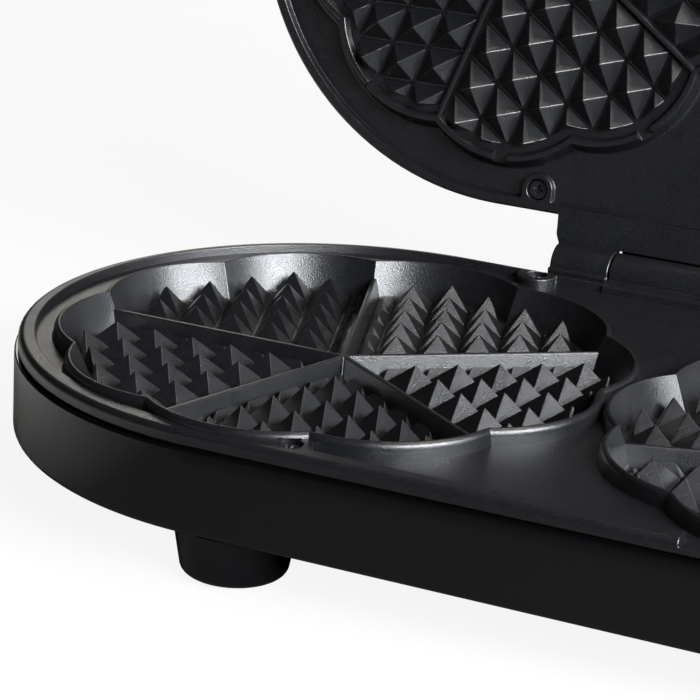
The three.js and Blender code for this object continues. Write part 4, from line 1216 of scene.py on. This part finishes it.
lamp("key_box", (1.03, -0.49, 0.68), TARGET, (1.15, 0.4), 52, (0.93, 0.96, 1))
lamp("top_box", (0.32, 0.2, 1.25), TARGET, (0.35, 0.35), 5, (1, 0.92, 0.8))
lamp("rear_box", (-0.6, 0.96, 0.46), (-0.1, 0, 0.05), (0.5, 0.25), 1.1, (1, 0.96, 0.9))

# %% [markdown]
# The castings wear a black non-stick coating: a fine grain that breaks the highlights up,
# small paler speckles, and a gloss that drifts slowly from place to place. An image could
# carry that, but noise on the object's own coordinates has no seams and keeps its scale.

# %% The plates' coating
GRAIN, CLOUD, SPECKLE, GRAIN_DEPTH = 0.42 * MM, 7 * MM, 0.22 * MM, 0.1 * MM
cast = Finish("cast_coating", (0.018, 0.0185, 0.021), 0.38, Specular_IOR_Level=0.75)
grain = cast.noise(GRAIN, 2, 0.6)
cloud = cast.noise(CLOUD, 3)
speckle = cast.between(cast.noise(SPECKLE, 1, 0.5), 0.6, 0.75)
cast.set("Base Color", cast.blend(speckle, (0.0055, 0.0057, 0.0067), (0.04, 0.041, 0.045)))
cast.set("Roughness", cast.between(cloud, 0.3, 0.7, 0.27, 0.34))
cast.bump(grain, GRAIN_DEPTH, 0.9)
print("grain:", round(GRAIN / MM, 2), "mm, speckles:", round(SPECKLE / MM, 2), "mm")

# %% [markdown]
# The housings are glossy moulded plastic, with the faint wave that moulding leaves. Rubber,
# sheet, steel, ceramic and resin each get a grain of their own size, in their bump or in
# their gloss, also inside the machine where they only show when it is taken apart.

# %% Plastics, rubber, metals and fillings
gloss = Finish("black_gloss", (0.0025, 0.0025, 0.003), 0.09)
rubber = Finish("black_rubber", (0.015, 0.015, 0.015), 0.8)
black_steel = Finish("black_steel", (0.05, 0.05, 0.055), 0.38, Metallic=0.8)
ceramic = Finish("glazed_ceramic", (0.78, 0.74, 0.66), 0.35)
resin = Finish("brown_resin", (0.045, 0.025, 0.015), 0.45)
board = Finish("resin_board", (0.35, 0.28, 0.14), 0.55)
gloss.bump(gloss.noise(14 * MM, 1), 0.015 * MM)
for finish, size, depth in (
    (rubber, 0.4, 0.05), (black_steel, 0.5, 0.02), (ceramic, 1.5, 0.03), (resin, 0.8, 0.03),
    (board, 0.6, 0.03),
):
    finish.bump(finish.noise(size * MM), depth * MM)

steel = Finish("bright_steel", (0.55, 0.56, 0.58), 0.3, Metallic=1.0)
steel.set("Roughness", steel.between(steel.noise(1.2 * MM), 0.3, 0.7, 0.25, 0.4))
tin = Finish("bright_sheet", (0.75, 0.76, 0.78), 0.25, Metallic=1.0)
tin.set("Roughness", tin.between(tin.noise(3 * MM), 0.3, 0.7, 0.2, 0.35))
red = Finish("red_lens", (0.5, 0.02, 0.015), 0.12)
green = Finish("green_lens", (0.02, 0.35, 0.08), 0.12)
finishes = (
    cast, gloss, rubber, black_steel, ceramic, resin, board, steel, tin, red, green,
)
print("finishes:", ", ".join(finish.material.name for finish in finishes))

# %% [markdown]
# Now the finishes go on. A solid that stays as it is gets its finish by the first of these
# words that its name holds, and a new piece by the slot that it was handed over with.

# %% Put the finishes on
finish_words = {
    "handle_screw": steel, "screw": black_steel, "foot_pad": rubber, "foot": gloss,
    "housing": gloss, "handle": gloss, "heater": steel, "reflector": tin,
    "thermostat": ceramic, "fuse": ceramic, "terminal": resin, "holder": board,
    "power": red, "ready": green, "gland": rubber, "pin": steel, "plate": cast,
}
slot_finishes = {
    "lower_casting": cast, "upper_casting": cast, "housing_plastic": gloss,
    "handle_plastic": gloss, "foot_plastic": gloss, "pad_rubber": rubber,
    "gland_rubber": rubber, "black_steel": black_steel, "red_lens": red, "green_lens": green,
}


def wear(piece, finish):
    piece.data.materials.clear()
    piece.data.materials.append(finish.material)


for name, node in nodes.items():
    wear(node, next(finish for word, finish in finish_words.items() if word in name))
for piece, slot in waiting:
    wear(piece, slot_finishes[slot])
print("dressed:", len(nodes), "solids and", len(waiting), "new pieces")

# %% [markdown]
# The new pieces must stay inside the box of the solids, since they only dress them.
